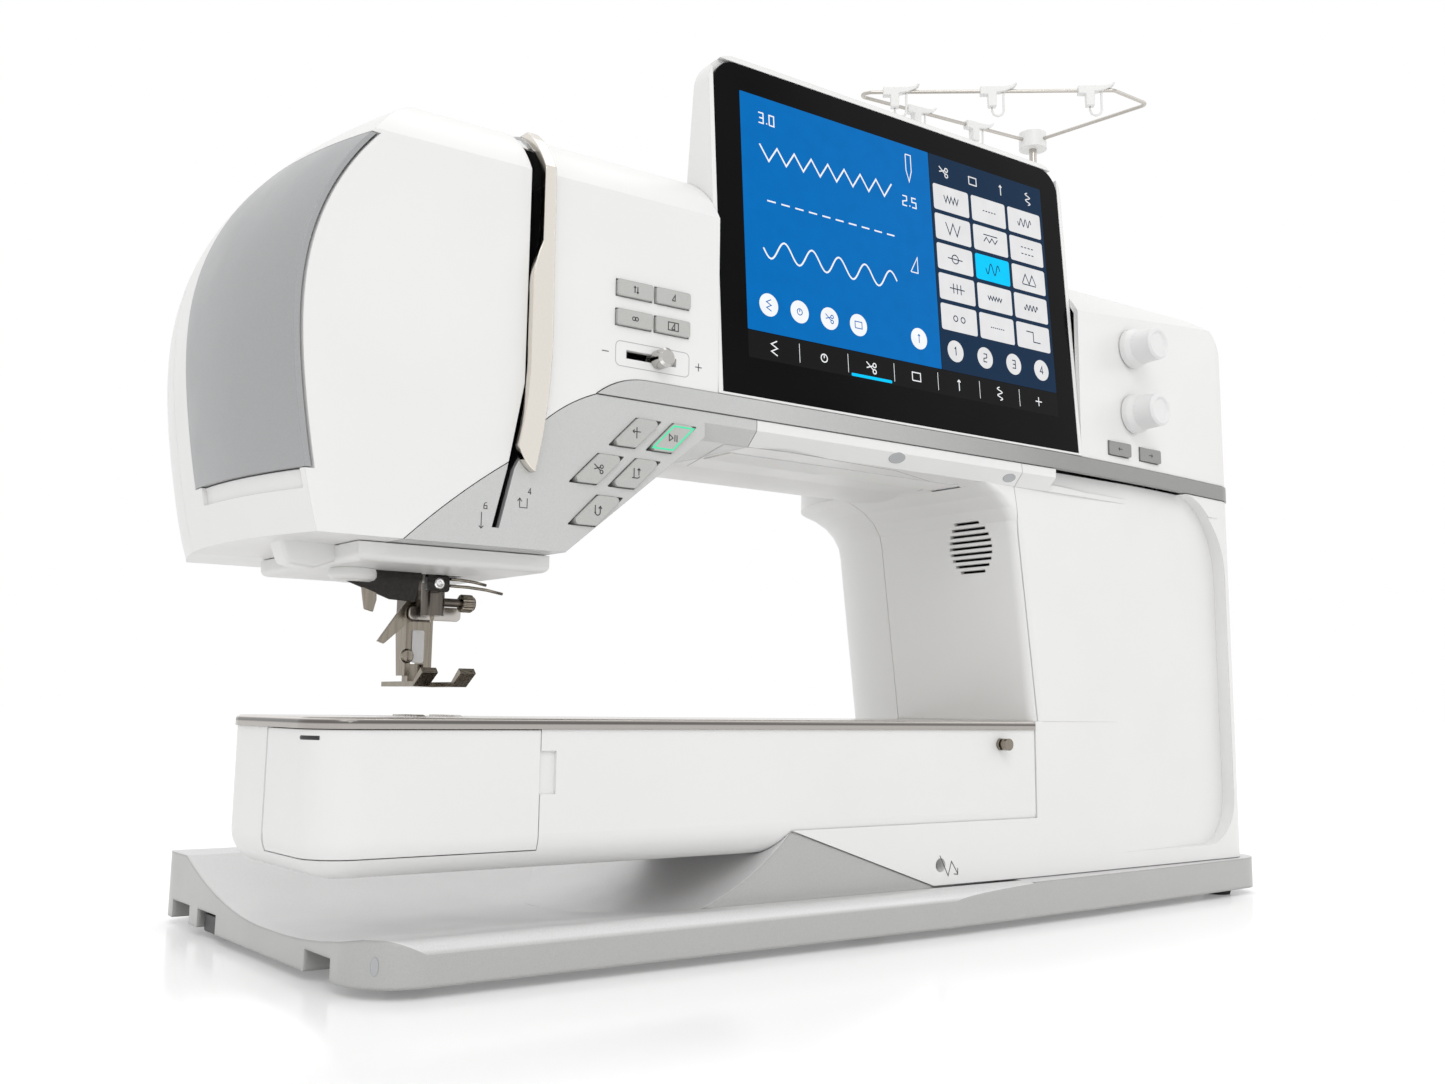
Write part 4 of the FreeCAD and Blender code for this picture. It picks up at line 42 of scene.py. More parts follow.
# Shader helpers, with the scales of the patterns from broad drift to fine grain
BROAD, SMUDGE, RUB, GLOW_DRIFT = 14.0, 42.0, 84.0, 112.0
STREAK, GRAIN, FLAKE = 900.0, 2600.0, 5200.0
STREAK_DETAIL, RUB_DETAIL = 3.0, 4.0
CALM_LOW, CALM_HIGH = 0.3, 0.7
EVEN, ALONG_X, ALONG_Z = (1.0, 1.0, 1.0), (0.05, 1.0, 1.0), (1.0, 1.0, 0.05)


def new_finish(name):
    """Material with a Principled shader."""
    material = bpy.data.materials.new(name)
    material.use_nodes = True
    return material, material.node_tree, material.node_tree.nodes["Principled BSDF"]


def set_sockets(shader, **values):
    """Constant values, written on the shader's own sockets."""
    for name, value in values.items():
        shader.inputs[name.replace("_", " ")].default_value = value


def add_node(tree, kind, **values):
    """New node with constant values on its sockets."""
    node = tree.nodes.new(kind)
    set_sockets(node, **values)
    return node


def noise(tree, scale, detail=2.0, stretch=EVEN):
    """Noise in object space, stretched along the axes."""
    place = add_node(tree, "ShaderNodeTexCoord")
    mapping = add_node(tree, "ShaderNodeMapping", Scale=stretch)
    texture = add_node(tree, "ShaderNodeTexNoise", Scale=scale, Detail=detail)
    tree.links.new(place.outputs["Object"], mapping.inputs["Vector"])
    tree.links.new(mapping.outputs["Vector"], texture.inputs["Vector"])
    return texture.outputs["Fac"]


def flakes(tree):
    """Cells with a random grey each, as metal flakes in paint."""
    place = add_node(tree, "ShaderNodeTexCoord")
    texture = add_node(tree, "ShaderNodeTexVoronoi", Scale=FLAKE)
    grey = add_node(tree, "ShaderNodeSeparateColor")
    tree.links.new(place.outputs["Object"], texture.inputs["Vector"])
    tree.links.new(texture.outputs["Color"], grey.inputs["Color"])
    return grey.outputs["Red"]


def along(tree, axis, low, high):
    """Share of the way from one place to another along an axis of the piece."""
    place = add_node(tree, "ShaderNodeTexCoord")
    axes = add_node(tree, "ShaderNodeSeparateXYZ")
    share = add_node(tree, "ShaderNodeMapRange", From_Min=low * MM, From_Max=high * MM)
    tree.links.new(place.outputs["Object"], axes.inputs["Vector"])
    tree.links.new(axes.outputs[axis], share.inputs["Value"])
    return share.outputs["Result"]


def facing_up(tree):
    """One where the surface faces up, nought on an upright wall; drives the base's painted light and shade.
    """
    surface = add_node(tree, "ShaderNodeNewGeometry")
    axes = add_node(tree, "ShaderNodeSeparateXYZ")
    tree.links.new(surface.outputs["Normal"], axes.inputs["Vector"])
    return axes.outputs["Z"]


def blend(tree, factor, stops):
    """Colour that goes from stop to stop; each stop is (place, colour)."""
    ramp = add_node(tree, "ShaderNodeValToRGB")
    points = ramp.color_ramp.elements
    for place, _ in stops[1:-1]:
        points.new(place)
    for point, (place, colour) in zip(points, stops):
        point.position = place
        point.color = list(colour) + [1]
    tree.links.new(factor, ramp.inputs["Fac"])
    return ramp.outputs["Color"]


def tint(tree, factor, colour, spread, target):
    """Colour that wanders a little either side of the given one."""
    low = [channel * (1 - spread) for channel in colour]
    high = [min(1.0, channel * (1 + spread)) for channel in colour]
    tree.links.new(blend(tree, factor, [(CALM_LOW, low), (CALM_HIGH, high)]), target)


def wander(tree, factor, span, target):
    """Number that wanders over a span."""
    reach = add_node(tree, "ShaderNodeMapRange", From_Min=CALM_LOW, From_Max=CALM_HIGH,
                     To_Min=span[0], To_Max=span[1])
    tree.links.new(factor, reach.inputs["Value"])
    tree.links.new(reach.outputs["Result"], target)


def relief(tree, shader, height, depth, edge):
    """Fine surface relief over softened edges; depth and edge radius in millimetres."""
    bump = add_node(tree, "ShaderNodeBump", Distance=depth * MM)
    tree.links.new(height, bump.inputs["Height"])
    if edge:
        bevel = add_node(tree, "ShaderNodeBevel", Radius=edge * MM)
        tree.links.new(bevel.outputs["Normal"], bump.inputs["Normal"])
    tree.links.new(bump.outputs["Normal"], shader.inputs["Normal"])


# Kinds of finish; gloss is a span of roughness
METAL_DEPTH, METAL_EDGE = 0.002, 0.3
PAINT_DEPTH, PAINT_EDGE = 0.002, 0.5
COAT_WEIGHT, COAT_ROUGHNESS = 0.15, 0.25
FLAKE_TONE, FLAKE_SPREAD = (0.95, 0.95, 0.95), 0.05
GLOW, GLOW_SPREAD, UNLIT_SHARE = 0.95, 0.03, 0.1
LIT_GLOSS, LIT_SPECULAR = (0.22, 0.3), 0.03


def plastic(name, colour, gloss, spread=0.012, grain=GRAIN, depth=0.003, edge=0.5, **sockets):
    """Moulded plastic: broad colour drift, uneven gloss and a fine moulded grain."""
    material, tree, shader = new_finish(name)
    tint(tree, noise(tree, BROAD), colour, spread, shader.inputs["Base Color"])
    wander(tree, noise(tree, SMUDGE), gloss, shader.inputs["Roughness"])
    relief(tree, shader, noise(tree, grain), depth, edge)
    set_sockets(shader, **sockets)
    return material


def clear_coat(tree, shader, gloss, metallic, edge):
    """Uneven gloss, fine relief and soft clear coat of the silver paints."""
    wander(tree, noise(tree, SMUDGE), gloss, shader.inputs["Roughness"])
    relief(tree, shader, noise(tree, GRAIN), PAINT_DEPTH, edge)
    set_sockets(shader, Metallic=metallic, Coat_Weight=COAT_WEIGHT, Coat_Roughness=COAT_ROUGHNESS)


def flake_paint(name, colour, gloss, metallic, edge=PAINT_EDGE):
    """Silver paint with metal flakes."""
    material, tree, shader = new_finish(name)
    tint(tree, flakes(tree), colour, FLAKE_SPREAD, shader.inputs["Base Color"])
    clear_coat(tree, shader, gloss, metallic, edge)
    return material


def paint_with_painted_shade(name, factor, stops, gloss, metallic, edge=PAINT_EDGE):
    """Silver paint with metal flakes over painted light and shade: a colour that changes across the piece."""
    material, tree, shader = new_finish(name)
    grain = tree.nodes.new("ShaderNodeMix")
    grain.data_type, grain.blend_type = "RGBA", "MULTIPLY"
    grain.inputs["Factor"].default_value = 1.0
    # Ramp of painted light and shade, multiplied by the flake tint
    tree.links.new(blend(tree, factor(tree), stops), grain.inputs["A"])
    tint(tree, flakes(tree), FLAKE_TONE, FLAKE_SPREAD, grain.inputs["B"])
    tree.links.new(grain.outputs["Result"], shader.inputs["Base Color"])
    clear_coat(tree, shader, gloss, metallic, edge)
    return material


def metal(name, colour, gloss, run, spread=0.04, grain=STREAK, depth=METAL_DEPTH, edge=METAL_EDGE):
    """Metal with grinding marks along its run and smudges in its gloss."""
    material, tree, shader = new_finish(name)
    streaks = noise(tree, grain, STREAK_DETAIL, run)
    tint(tree, streaks, colour, spread, shader.inputs["Base Color"])
    wander(tree, noise(tree, RUB, RUB_DETAIL, run), gloss, shader.inputs["Roughness"])
    relief(tree, shader, streaks, depth, edge)
    set_sockets(shader, Metallic=1.0)
    return material


def metal_with_painted_reflection(name, factor, stops, gloss, run):
    """Polished metal with painted reflection: bright and dark bands of colour across the piece, in place of
    its highlights and the dark surroundings it mirrors.
    """
    material, tree, shader = new_finish(name)
    tree.links.new(blend(tree, factor(tree), stops), shader.inputs["Base Color"])
    streaks = noise(tree, STREAK, STREAK_DETAIL, run)
    wander(tree, streaks, gloss, shader.inputs["Roughness"])
    relief(tree, shader, streaks, METAL_DEPTH, METAL_EDGE)
    set_sockets(shader, Metallic=1.0)
    return material


def lit(name, colour):
    """Lit picture surface: a dark body with a faintly uneven glow."""
    material, tree, shader = new_finish(name)
    glow = noise(tree, GLOW_DRIFT)
    tint(tree, glow, colour, GLOW_SPREAD, shader.inputs["Emission Color"])
    tint(tree, glow, [channel * UNLIT_SHARE for channel in colour], GLOW_SPREAD, shader.inputs["Base Color"])
    wander(tree, noise(tree, SMUDGE), LIT_GLOSS, shader.inputs["Roughness"])
    set_sockets(shader, Emission_Strength=GLOW, Specular_IOR_Level=LIT_SPECULAR)
    return material


# Finishes. Plastics: colour, gloss, other values
PLASTICS = {
    "white_plastic": ((0.80, 0.80, 0.79), (0.3, 0.38), {}),
    "knob_plastic": ((0.78, 0.78, 0.775), (0.36, 0.44), {"edge": 0.1}),
    "black_plastic": ((0.018, 0.018, 0.019), (0.36, 0.5), {"spread": 0.2, "depth": 0.006}),
    "rubber": ((0.022, 0.022, 0.022), (0.7, 0.85), {"spread": 0.2, "grain": 1400.0, "depth": 0.02}),
    "screen_black": ((0.0035, 0.0035, 0.004), (0.1, 0.16),
                     {"spread": 0.3, "depth": 0.0003, "edge": 0.3, "Specular_IOR_Level": 0.04}),
    "frosted_lens": ((0.84, 0.84, 0.83), (0.45, 0.55),
                     {"depth": 0.01, "Subsurface_Weight": 0.15, "Subsurface_Scale": 0.003}),
    "mark_grey": ((0.035, 0.035, 0.037), (0.5, 0.6), {"spread": 0.1, "edge": 0}),
    "pale_line": ((0.42, 0.42, 0.42), (0.45, 0.55), {"spread": 0.05, "edge": 0}),
    "grey_lens": ((0.40, 0.41, 0.42), (0.12, 0.2), {"spread": 0.05, "depth": 0.0006, "Coat_Weight": 0.4}),
}
# Paints: colour, gloss, share of metal, other values
PAINTS = {
    "silver_paint": ((0.55, 0.555, 0.545), (0.34, 0.42), 0.35, {}),
    "grey_paint": ((0.36, 0.365, 0.37), (0.3, 0.38), 0.45, {}),
    "key_plastic": ((0.47, 0.475, 0.455), (0.4, 0.48), 0.2, {"edge": 0.7}),
}
# Metals: colour, gloss, run of the marks, other values
METALS = {
    "wire_steel": ((0.5, 0.475, 0.44), (0.16, 0.26), EVEN, {"spread": 0.05}),
    "champagne_nickel": ((0.76, 0.72, 0.66), (0.1, 0.16), EVEN,
                         {"spread": 0.012, "depth": 0.0003, "edge": 0.8}),
    "polished_nickel": ((0.5, 0.49, 0.47), (0.06, 0.12), EVEN, {"spread": 0.02, "depth": 0.0004}),
    "chrome": ((0.80, 0.80, 0.80), (0.05, 0.12), EVEN, {"spread": 0.02, "depth": 0.0008}),
    "ground_steel": ((0.52, 0.49, 0.46), (0.2, 0.3), ALONG_X, {}),
    "dark_nickel": ((0.27, 0.24, 0.2), (0.12, 0.24), ALONG_Z, {"spread": 0.15}),
    "burnished_steel": ((0.13, 0.115, 0.1), (0.12, 0.22), ALONG_Z, {"spread": 0.2}),
    "casting": ((0.48, 0.48, 0.48), (0.5, 0.65), EVEN, {"grain": 1200.0, "depth": 0.05}),
    "dark_mirror": ((0.035, 0.033, 0.031), (0.08, 0.16), EVEN, {"spread": 0.2, "depth": 0.0006}),
}
# Glows: colour
GLOWS = {
    "green_glow": (0.10, 0.83, 0.45),
    "screen_blue": (0.0, 0.147, 0.474),
    "screen_navy": (0.008, 0.028, 0.067),
    "screen_strip": (0.0097, 0.0097, 0.0097),
    "screen_tile": (0.75, 0.75, 0.76),
    "screen_cyan": (0.0, 0.578, 1.0),
    "screen_white": (0.88, 0.90, 0.92),
}
# Painted shade on the silver trim and the arrow keys: pale by the control panel, darker towards the right
TRIM_PALE, TRIM_DARK = -90.0, 140.0
TRIM_SHADE_STOPS = [(0.0, (0.55, 0.555, 0.545)), (1.0, (0.28, 0.28, 0.272))]
TRIM_GLOSS, TRIM_METAL = (0.3, 0.38), 0.4
# Painted light and shade on the base: lighter where it faces up, darker on its upright rim
BASE_SHADE_STOPS = [(0.05, (0.46, 0.46, 0.45)), (0.4, (0.72, 0.715, 0.715))]
BASE_GLOSS, BASE_METAL, BASE_EDGE = (0.32, 0.4), 0.35, 2.5
# Painted reflection on the bed plate's edge: bright and dark bands of colour up the edge, with the steel's
# warm tint
BED_EDGE_LOW, BED_EDGE_HIGH = 104.0, 106.8
BED_REFLECTION_BANDS = [(0.0, 0.42), (0.22, 0.13), (0.55, 0.17), (0.78, 0.8), (0.95, 0.6)]
BED_WARMTH = (1.0, 0.94, 0.89)
BED_GLOSS = (0.12, 0.26)


def trim_length(tree):
    """Way along the trim from the control panel to the right, which sets its painted shade."""
    return along(tree, "X", TRIM_PALE, TRIM_DARK)


def bed_height(tree):
    """Way up the edge of the bed plate, which sets its painted reflection bands."""
    return along(tree, "Z", BED_EDGE_LOW, BED_EDGE_HIGH)


def make_finishes():
    """All finishes by name."""
    made = {}
    for name, (colour, gloss, more) in PLASTICS.items():
        made[name] = plastic(name, colour, gloss, **more)
    for name, (colour, gloss, metallic, more) in PAINTS.items():
        made[name] = flake_paint(name, colour, gloss, metallic, **more)
    for name, (colour, gloss, run, more) in METALS.items():
        made[name] = metal(name, colour, gloss, run, **more)
    for name, colour in GLOWS.items():
        made[name] = lit(name, colour)
    # Trim: painted shade that darkens along it to the right
    made["trim_paint"] = paint_with_painted_shade("trim_paint", trim_length, TRIM_SHADE_STOPS, TRIM_GLOSS, TRIM_METAL)
    # Base: painted light and shade by how each surface faces
    made["base_paint"] = paint_with_painted_shade("base_paint", facing_up, BASE_SHADE_STOPS, BASE_GLOSS, BASE_METAL, BASE_EDGE)
    # Bed plate: painted reflection bands up its edge
    bands = [(place, [grey * share for share in BED_WARMTH]) for place, grey in BED_REFLECTION_BANDS]
    made["bed_steel"] = metal_with_painted_reflection("bed_steel", bed_height, bands, BED_GLOSS, ALONG_X)
    return made


FINISHES = make_finishes()
ARROW_KEYS = ["key_needle_left", "key_needle_right"]
NODE_FINISH = {
    "white_plastic": ["arm_front_cover", "head_face_cover", "throat_cover", "column_front_cover",
                      "rear_cover", "head_base", "screen_housing", "free_arm_shell", "bobbin_door",
                      "stand_clips", "spool_pins", "handwheel"],
    "knob_plastic": ["knob_upper", "knob_lower"],
    "silver_paint": ["control_panel"],
    "trim_paint": ["trim_band"] + ARROW_KEYS,
    "base_paint": ["base_plate"],
    "bed_steel": ["bed_plate"],
    "wire_steel": ["stand_wire", "stand_mast"],
    "grey_paint": ["head_side_panel"],
    "key_plastic": [name for name in NODES if name.startswith("key_") and name not in ARROW_KEYS],
    "black_plastic": ["take_up_liner", "mains_inlet", "power_switch", "motor"],
    "rubber": ["base_feet", "timing_belt"],
    "champagne_nickel": ["take_up_guard"],
    "polished_nickel": ["speed_slider"],
    "ground_steel": ["needle_plate", "feed_dog", "take_up_lever", "main_shaft", "lower_shaft",
                     "rotary_hook", "bobbin_case", "bobbin", "motor_pulley"],
    "burnished_steel": ["needle_bar", "needle_clamp", "presser_bar"],
    "dark_nickel": ["needle", "presser_foot", "presser_sole", "presser_lever", "table_stud"],
    "casting": ["machine_frame"],
    "screen_black": ["screen_glass"],
    "frosted_lens": ["lamp_lens"],
}
for finish_name, node_names in NODE_FINISH.items():
    for node_name in node_names:
        NODES[node_name].material_slots[0].material = FINISHES[finish_name]


# Piece helpers
MARK_RISE = 0.12
EDGE_SEGMENTS = 3
TURNED_EDGE = 0.3
MITRE_LIMIT = 0.35
DIGIT_STEP, DOT_STEP = 0.85, 0.4
DIGITS = {
    "0": [[(0, 0), (0, 1), (0.55, 1), (0.55, 0), (0, 0.01)]],
    "1": [[(0.1, 0.8), (0.32, 1), (0.32, 0)]],
    "2": [[(0, 1), (0.55, 1), (0.55, 0.55), (0, 0.4), (0, 0), (0.55, 0)]],
    "3": [[(0, 1), (0.55, 1), (0.55, 0), (0, 0)], [(0.1, 0.5), (0.55, 0.5)]],
    "4": [[(0.4, 0), (0.4, 1), (0, 0.3), (0.6, 0.3)]],
    "5": [[(0.55, 1), (0, 1), (0, 0.55), (0.55, 0.55), (0.55, 0), (0, 0)]],
    "6": [[(0.5, 1), (0.15, 0.9), (0, 0.55), (0, 0), (0.55, 0), (0.55, 0.5), (0, 0.5)]],
    ".": [[(0.1, 0), (0.1, 0.14)]],
}


class Sheet:
    """Flat place for marks and plates: millimetres to the right and up from an origin, and outward."""

    def __init__(self, origin, right=(1, 0, 0), up=(0, 0, 1)):
        self.origin = Vector(origin)
        self.right = Vector(right).normalized()
        self.up = Vector(up).normalized()
        self.out = self.right.cross(self.up)

    def spot(self, across, rise, lift):
        """Place in the frame, in metres."""
        return (self.origin + self.right * across + self.up * rise + self.out * lift) * MM


def add_piece(name, mesh, finish, body):
    """Piece with one finish that moves with a body of the part."""
    piece = bpy.data.objects.new(name, mesh)
    bpy.context.scene.collection.objects.link(piece)
    mesh.materials.append(FINISHES[finish])
    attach(piece, body)
    return piece


def settle(name, shape, finish, body):
    """Piece from a finished shape, with its faces turned outward."""
    bmesh.ops.recalc_face_normals(shape, faces=shape.faces)
    mesh = bpy.data.meshes.new(name)
    shape.to_mesh(mesh)
    shape.free()
    return add_piece(name, mesh, finish, body)


def soften(piece, width):
    """Rounded edges with smooth shading between them."""
    bevel = piece.modifiers.new("soft_edges", "BEVEL")
    bevel.width = width * MM
    bevel.segments = EDGE_SEGMENTS
    bevel.limit_method = "ANGLE"
    bevel.harden_normals = True
    for face in piece.data.polygons:
        face.use_smooth = True
    return piece


class Drawing:
    """Thin raised shapes of one finish on a sheet, between two heights over it."""

    def __init__(self, sheet, low=0.0, high=MARK_RISE):
        self.sheet = sheet
        self.low = low
        self.high = high
        self.shape = bmesh.new()

    def area(self, outline):
        """Plate inside an outline."""
        top = [self.shape.verts.new(self.sheet.spot(x, y, self.high)) for x, y in outline]
        foot = [self.shape.verts.new(self.sheet.spot(x, y, self.low)) for x, y in outline]
        self.shape.faces.new(top)
        self.shape.faces.new(foot)
        for i in range(len(top)):
            self.shape.faces.new((top[i - 1], top[i], foot[i], foot[i - 1]))

    def line(self, points, width, closed=False):
        """Stroke of even width along points, with mitred corners."""
        points = [Vector(point) for point in points]
        count = len(points)
        left, right = [], []
        for i, here in enumerate(points):
            ways = []
            if i or closed:
                ways.append((here - points[i - 1]).normalized())
            if i + 1 < count or closed:
                ways.append((points[(i + 1) % count] - here).normalized())
            normals = [Vector((-way.y, way.x)) for way in ways]
            middle = sum(normals, Vector((0, 0))).normalized()
            reach = width / 2 / max(MITRE_LIMIT, middle.dot(normals[0]))
            left.append(here + middle * reach)
            right.append(here - middle * reach)
        for i in range(count if closed else count - 1):
            j = (i + 1) % count
            self.area([left[i], left[j], right[j], right[i]])

    def icon(self, strokes, x, y, size, width):
        """Strokes given in a box from minus one to one."""
        for points in strokes:
            self.line([(x + a * size, y + b * size) for a, b in points], width)

    def number(self, text, x, y, height, width):
        """Plain number from strokes, starting at its lower left."""
        for sign in text:
            for points in DIGITS[sign]:
                self.line([(x + a * height, y + b * height) for a, b in points], width)
            x += height * (DOT_STEP if sign == "." else DIGIT_STEP)

    def place(self, name, finish, body="machine"):
        """Piece from all shapes drawn so far."""
        return settle(name, self.shape, finish, body)


def round_points(x, y, across, rise=None, start=0, turn=360, steps=24):
    """Points round an ellipse or along a part of one."""
    rise = across if rise is None else rise
    count = steps if turn == 360 else steps + 1
    angles = [math.radians(start + turn * i / steps) for i in range(count)]
    return [(x + across * math.cos(angle), y + rise * math.sin(angle)) for angle in angles]


def round_box(left, low, right, high, radius, steps=5):
    """Outline of a box with round corners."""
    outline = []
    middles = ((right - radius, high - radius), (left + radius, high - radius),
               (left + radius, low + radius), (right - radius, low + radius))
    for i, (x, y) in enumerate(middles):
        outline += round_points(x, y, radius, start=90 * i, turn=90, steps=steps)
    return outline


def plate(name, sheet, outline, heights, finish, edge, body="machine"):
    """Solid plate between two heights over a sheet, with rounded edges."""
    drawing = Drawing(sheet, *heights)
    drawing.area(outline)
    return soften(drawing.place(name, finish, body), edge)


def skin(shape, rings):
    """Faces between rings of points, and a cap on either end."""
    for first, second in zip(rings, rings[1:]):
        for k in range(len(first)):
            shape.faces.new((first[k - 1], first[k], second[k], second[k - 1]))
    shape.faces.new(rings[0])
    shape.faces.new(rings[-1])


def sweep(name, points, radius, finish, body="machine", sides=14):
    """Round wire through points."""
    points = [Vector(point) for point in points]
    angles = [2 * math.pi * k / sides for k in range(sides)]
    shape = bmesh.new()
    rings = []
    for i, here in enumerate(points):
        way = points[min(i + 1, len(points) - 1)] - points[max(i - 1, 0)]
        turn = way.to_track_quat("Z", "Y").to_matrix()
        ring = [here + turn @ Vector((math.cos(angle), math.sin(angle), 0)) * radius for angle in angles]
        rings.append([shape.verts.new(spot * MM) for spot in ring])
    skin(shape, rings)
    for face in shape.faces:
        face.smooth = len(face.verts) == 4
    return settle(name, shape, finish, body)


def lathe(name, start, axis, profile, finish, body="machine", ribs=0, rib_depth=0.0, sides=48):
    """Turned piece; profile is (distance along the axis, radius), and ribs wave its outside."""
    turn = Vector(axis).to_track_quat("Z", "Y").to_matrix()
    angles = [2 * math.pi * k / sides for k in range(sides)]
    shape = bmesh.new()
    rings = []
    for distance, radius in profile:
        ring = []
        for angle in angles:
            reach = radius + rib_depth * math.cos(angle * ribs)
            spot = Vector((math.cos(angle) * reach, math.sin(angle) * reach, distance))
            ring.append(shape.verts.new((Vector(start) + turn @ spot) * MM))
        rings.append(ring)
    skin(shape, rings)
    return soften(settle(name, shape, finish, body), TURNED_EDGE)


def node_box(name):
    """Lowest and highest corner of a solid of the part, in millimetres."""
    corners = [NODES[name].matrix_world @ Vector(corner) / MM for corner in NODES[name].bound_box]
    return [Vector([pick(corner[i] for corner in corners) for i in range(3)]) for pick in (min, max)]


def front_of(name):
    """Sheet on the front of a key or cover, about its middle."""
    low, high = node_box(name)
    return Sheet(((low.x + high.x) / 2, low.y, (low.z + high.z) / 2))


# Simple icons, as strokes in a box from minus one to one
def zigzag(turns, across):
    """Stitch line that runs upward and swings from side to side."""
    return [((-1) ** i * across, -1 + 2 * i / turns) for i in range(turns + 1)]


def wave(turns, across, steps=24):
    """Stitch line that runs upward in soft waves."""
    angles = [2 * math.pi * turns * i / steps for i in range(steps + 1)]
    return [(across * math.sin(angle), -1 + 2 * i / steps) for i, angle in enumerate(angles)]


def dashes(count, x=0.0, share=0.6):
    """Upright row of dashes."""
    step = 2 / count
    return [[(x, -1 + step * i), (x, -1 + step * (i + share))] for i in range(count)]


def arrow_up(x, low, high, head=0.3):
    """Shaft and head of an arrow."""
    return [[(x, low), (x, high)], [(x - head, high - head), (x, high), (x + head, high - head)]]


def turned_over(strokes):
    """The same strokes upside down."""
    return [[(x, -y) for x, y in points] for points in strokes]


def laid_left(strokes):
    """The same strokes, turned so that up points to the left."""
    return [[(-y, x) for x, y in points] for points in strokes]


def moved(points, scale, x=0.0, y=0.0):
    """The same points, scaled and then moved."""
    return [(a * scale + x, b * scale + y) for a, b in points]


LOOP = round_points(0, 0, 0.55) + [(0.55, 0.01)]
RING = round_points(0, 0, 0.3, steps=16)
BEND = round_points(0, -0.3, 0.5, start=180, turn=180, steps=10)
WEDGE = [[(-0.5, -0.7), (0.4, 0.8), (0.4, -0.7), (-0.45, -0.7)]]
SCISSORS = [[(-0.9, 0.75), (0.3, -0.25)], [(-0.9, -0.1), (0.3, 0.3)],
            moved(RING, 1, 0.55, -0.5) + [(0.85, -0.49)],
            moved(RING, 1, 0.58, 0.4) + [(0.88, 0.41)]]
TURN_BACK = [[(-0.5, 0.9), (-0.5, -0.3)] + BEND + [(0.5, 0.7)], [(0.2, 0.35), (0.5, 0.75), (0.8, 0.35)]]
START_STOP = [[(-0.9, -0.6), (-0.9, 0.6), (-0.1, 0.0), (-0.9, -0.6)],
              [(0.3, 0.6), (0.3, -0.6)], [(0.75, 0.6), (0.75, -0.6)]]
FOOT = [[(-0.9, -0.8), (0.3, -0.8), (0.7, -0.5)], [(-0.5, -0.8), (-0.5, 0.9)]]
WIDE_FRAME = [[(-1.5, -1.0), (-1.5, 1.0), (1.5, 1.0), (1.5, -1.0), (-1.5, -0.99)]]
SMALL_FRAME = [[(-0.8, -0.6), (0.8, -0.6), (0.8, 0.6), (-0.8, 0.6), (-0.8, -0.59)]]
NEEDLE_FORM = [[(-0.25, 1), (-0.25, -0.2), (0, -1), (0.25, -0.2), (0.25, 1), (-0.24, 1)]]
PLUS = [[(-0.7, 0), (0.7, 0)], [(0, -0.7), (0, 0.7)]]
BROAD_ARROW = arrow_up(0, -0.9, 0.9, 0.45)

KEY_ICONS = {
    "key_needle_position": arrow_up(-0.3, -0.8, 0.8) + turned_over(arrow_up(0.5, -0.8, 0.8)),
    "key_half_speed": WEDGE,
    "key_securing": [moved(LOOP, 0.8, -0.4), moved(LOOP, 0.8, 0.4)],
    "key_pattern_end": WEDGE + WIDE_FRAME,
    "key_threader": [[(-0.1, 1.0), (-0.1, -1.0)]] + laid_left(arrow_up(0.2, -0.7, 0.9)),
    "key_start_stop": START_STOP,
    "key_thread_cutter": SCISSORS,
    "key_presser_foot": FOOT + arrow_up(0.5, -0.3, 0.9),
    "key_reverse": TURN_BACK,
    "key_needle_left": laid_left(BROAD_ARROW),
    "key_needle_right": laid_left(turned_over(BROAD_ARROW)),
}
SLANTED_KEYS = ["key_threader", "key_start_stop", "key_thread_cutter", "key_presser_foot", "key_reverse"]
KEY_ICON_SIZE, PAD_ICON_SIZE, KEY_STROKE = 1.9, 2.6, 0.42
PAD_WIDTH, PAD_HEIGHT, PAD_LEAN = 13.4, 13.8, 14.0
GLOW_SCALE, GLOW_STROKE = 0.82, 0.75


def key_marks():
    """Dark icon on each key, and the lit outline round the start key."""
    for name, strokes in KEY_ICONS.items():
        size = PAD_ICON_SIZE if name in SLANTED_KEYS else KEY_ICON_SIZE
        drawing = Drawing(front_of(name))
        drawing.icon(strokes, 0, 0, size, KEY_STROKE)
        drawing.place(name + "_icon", "mark_grey", name)
    half, lean, up = (GLOW_SCALE * length / 2 for length in (PAD_WIDTH, PAD_LEAN, PAD_HEIGHT))
    corners = [(-half - lean, -up), (-half + lean, up), (half + lean, up), (half - lean, -up)]
    glow = Drawing(front_of("key_start_stop"))
    glow.line(corners, GLOW_STROKE, closed=True)
    glow.place("start_outline", "green_glow", "key_start_stop")


# Marks on the covers
FACE = Sheet((0, node_box("head_face_cover")[0].y, 0))
RIGHT_FACE = Sheet((0, -119.2, 0), right=(1, 0.0786, 0))
RIGHT_FACE_HEIGHTS = (-0.6, 0.5)
SIGN_STROKE, FINE_STROKE = 0.35, 0.3
SLIDER_SIGNS = [[(-180.0, 270.8), (-176.4, 270.8)], [(-128.2, 271.0), (-124.4, 271.0)],
                [(-126.3, 269.1), (-126.3, 272.9)]]
SLIDER_FRAME, SLIDER_CORNER, SLIDER_RISE = (-172.7, 265.2, -131.8, 276.8), 2.5, 0.06
THREAD_TURN = [[(0.8, 1.0), (0.8, -0.6), (-0.6, -0.6), (-0.6, 0.9)], [(-1.0, 0.4), (-0.6, 0.95), (-0.2, 0.4)]]
DOWN_ARROW = [[(0, -1), (0, 1)], [(-0.5, -0.4), (0, -1), (0.5, -0.4)]]
SLOT_NUMBER_HEIGHT = 2.6
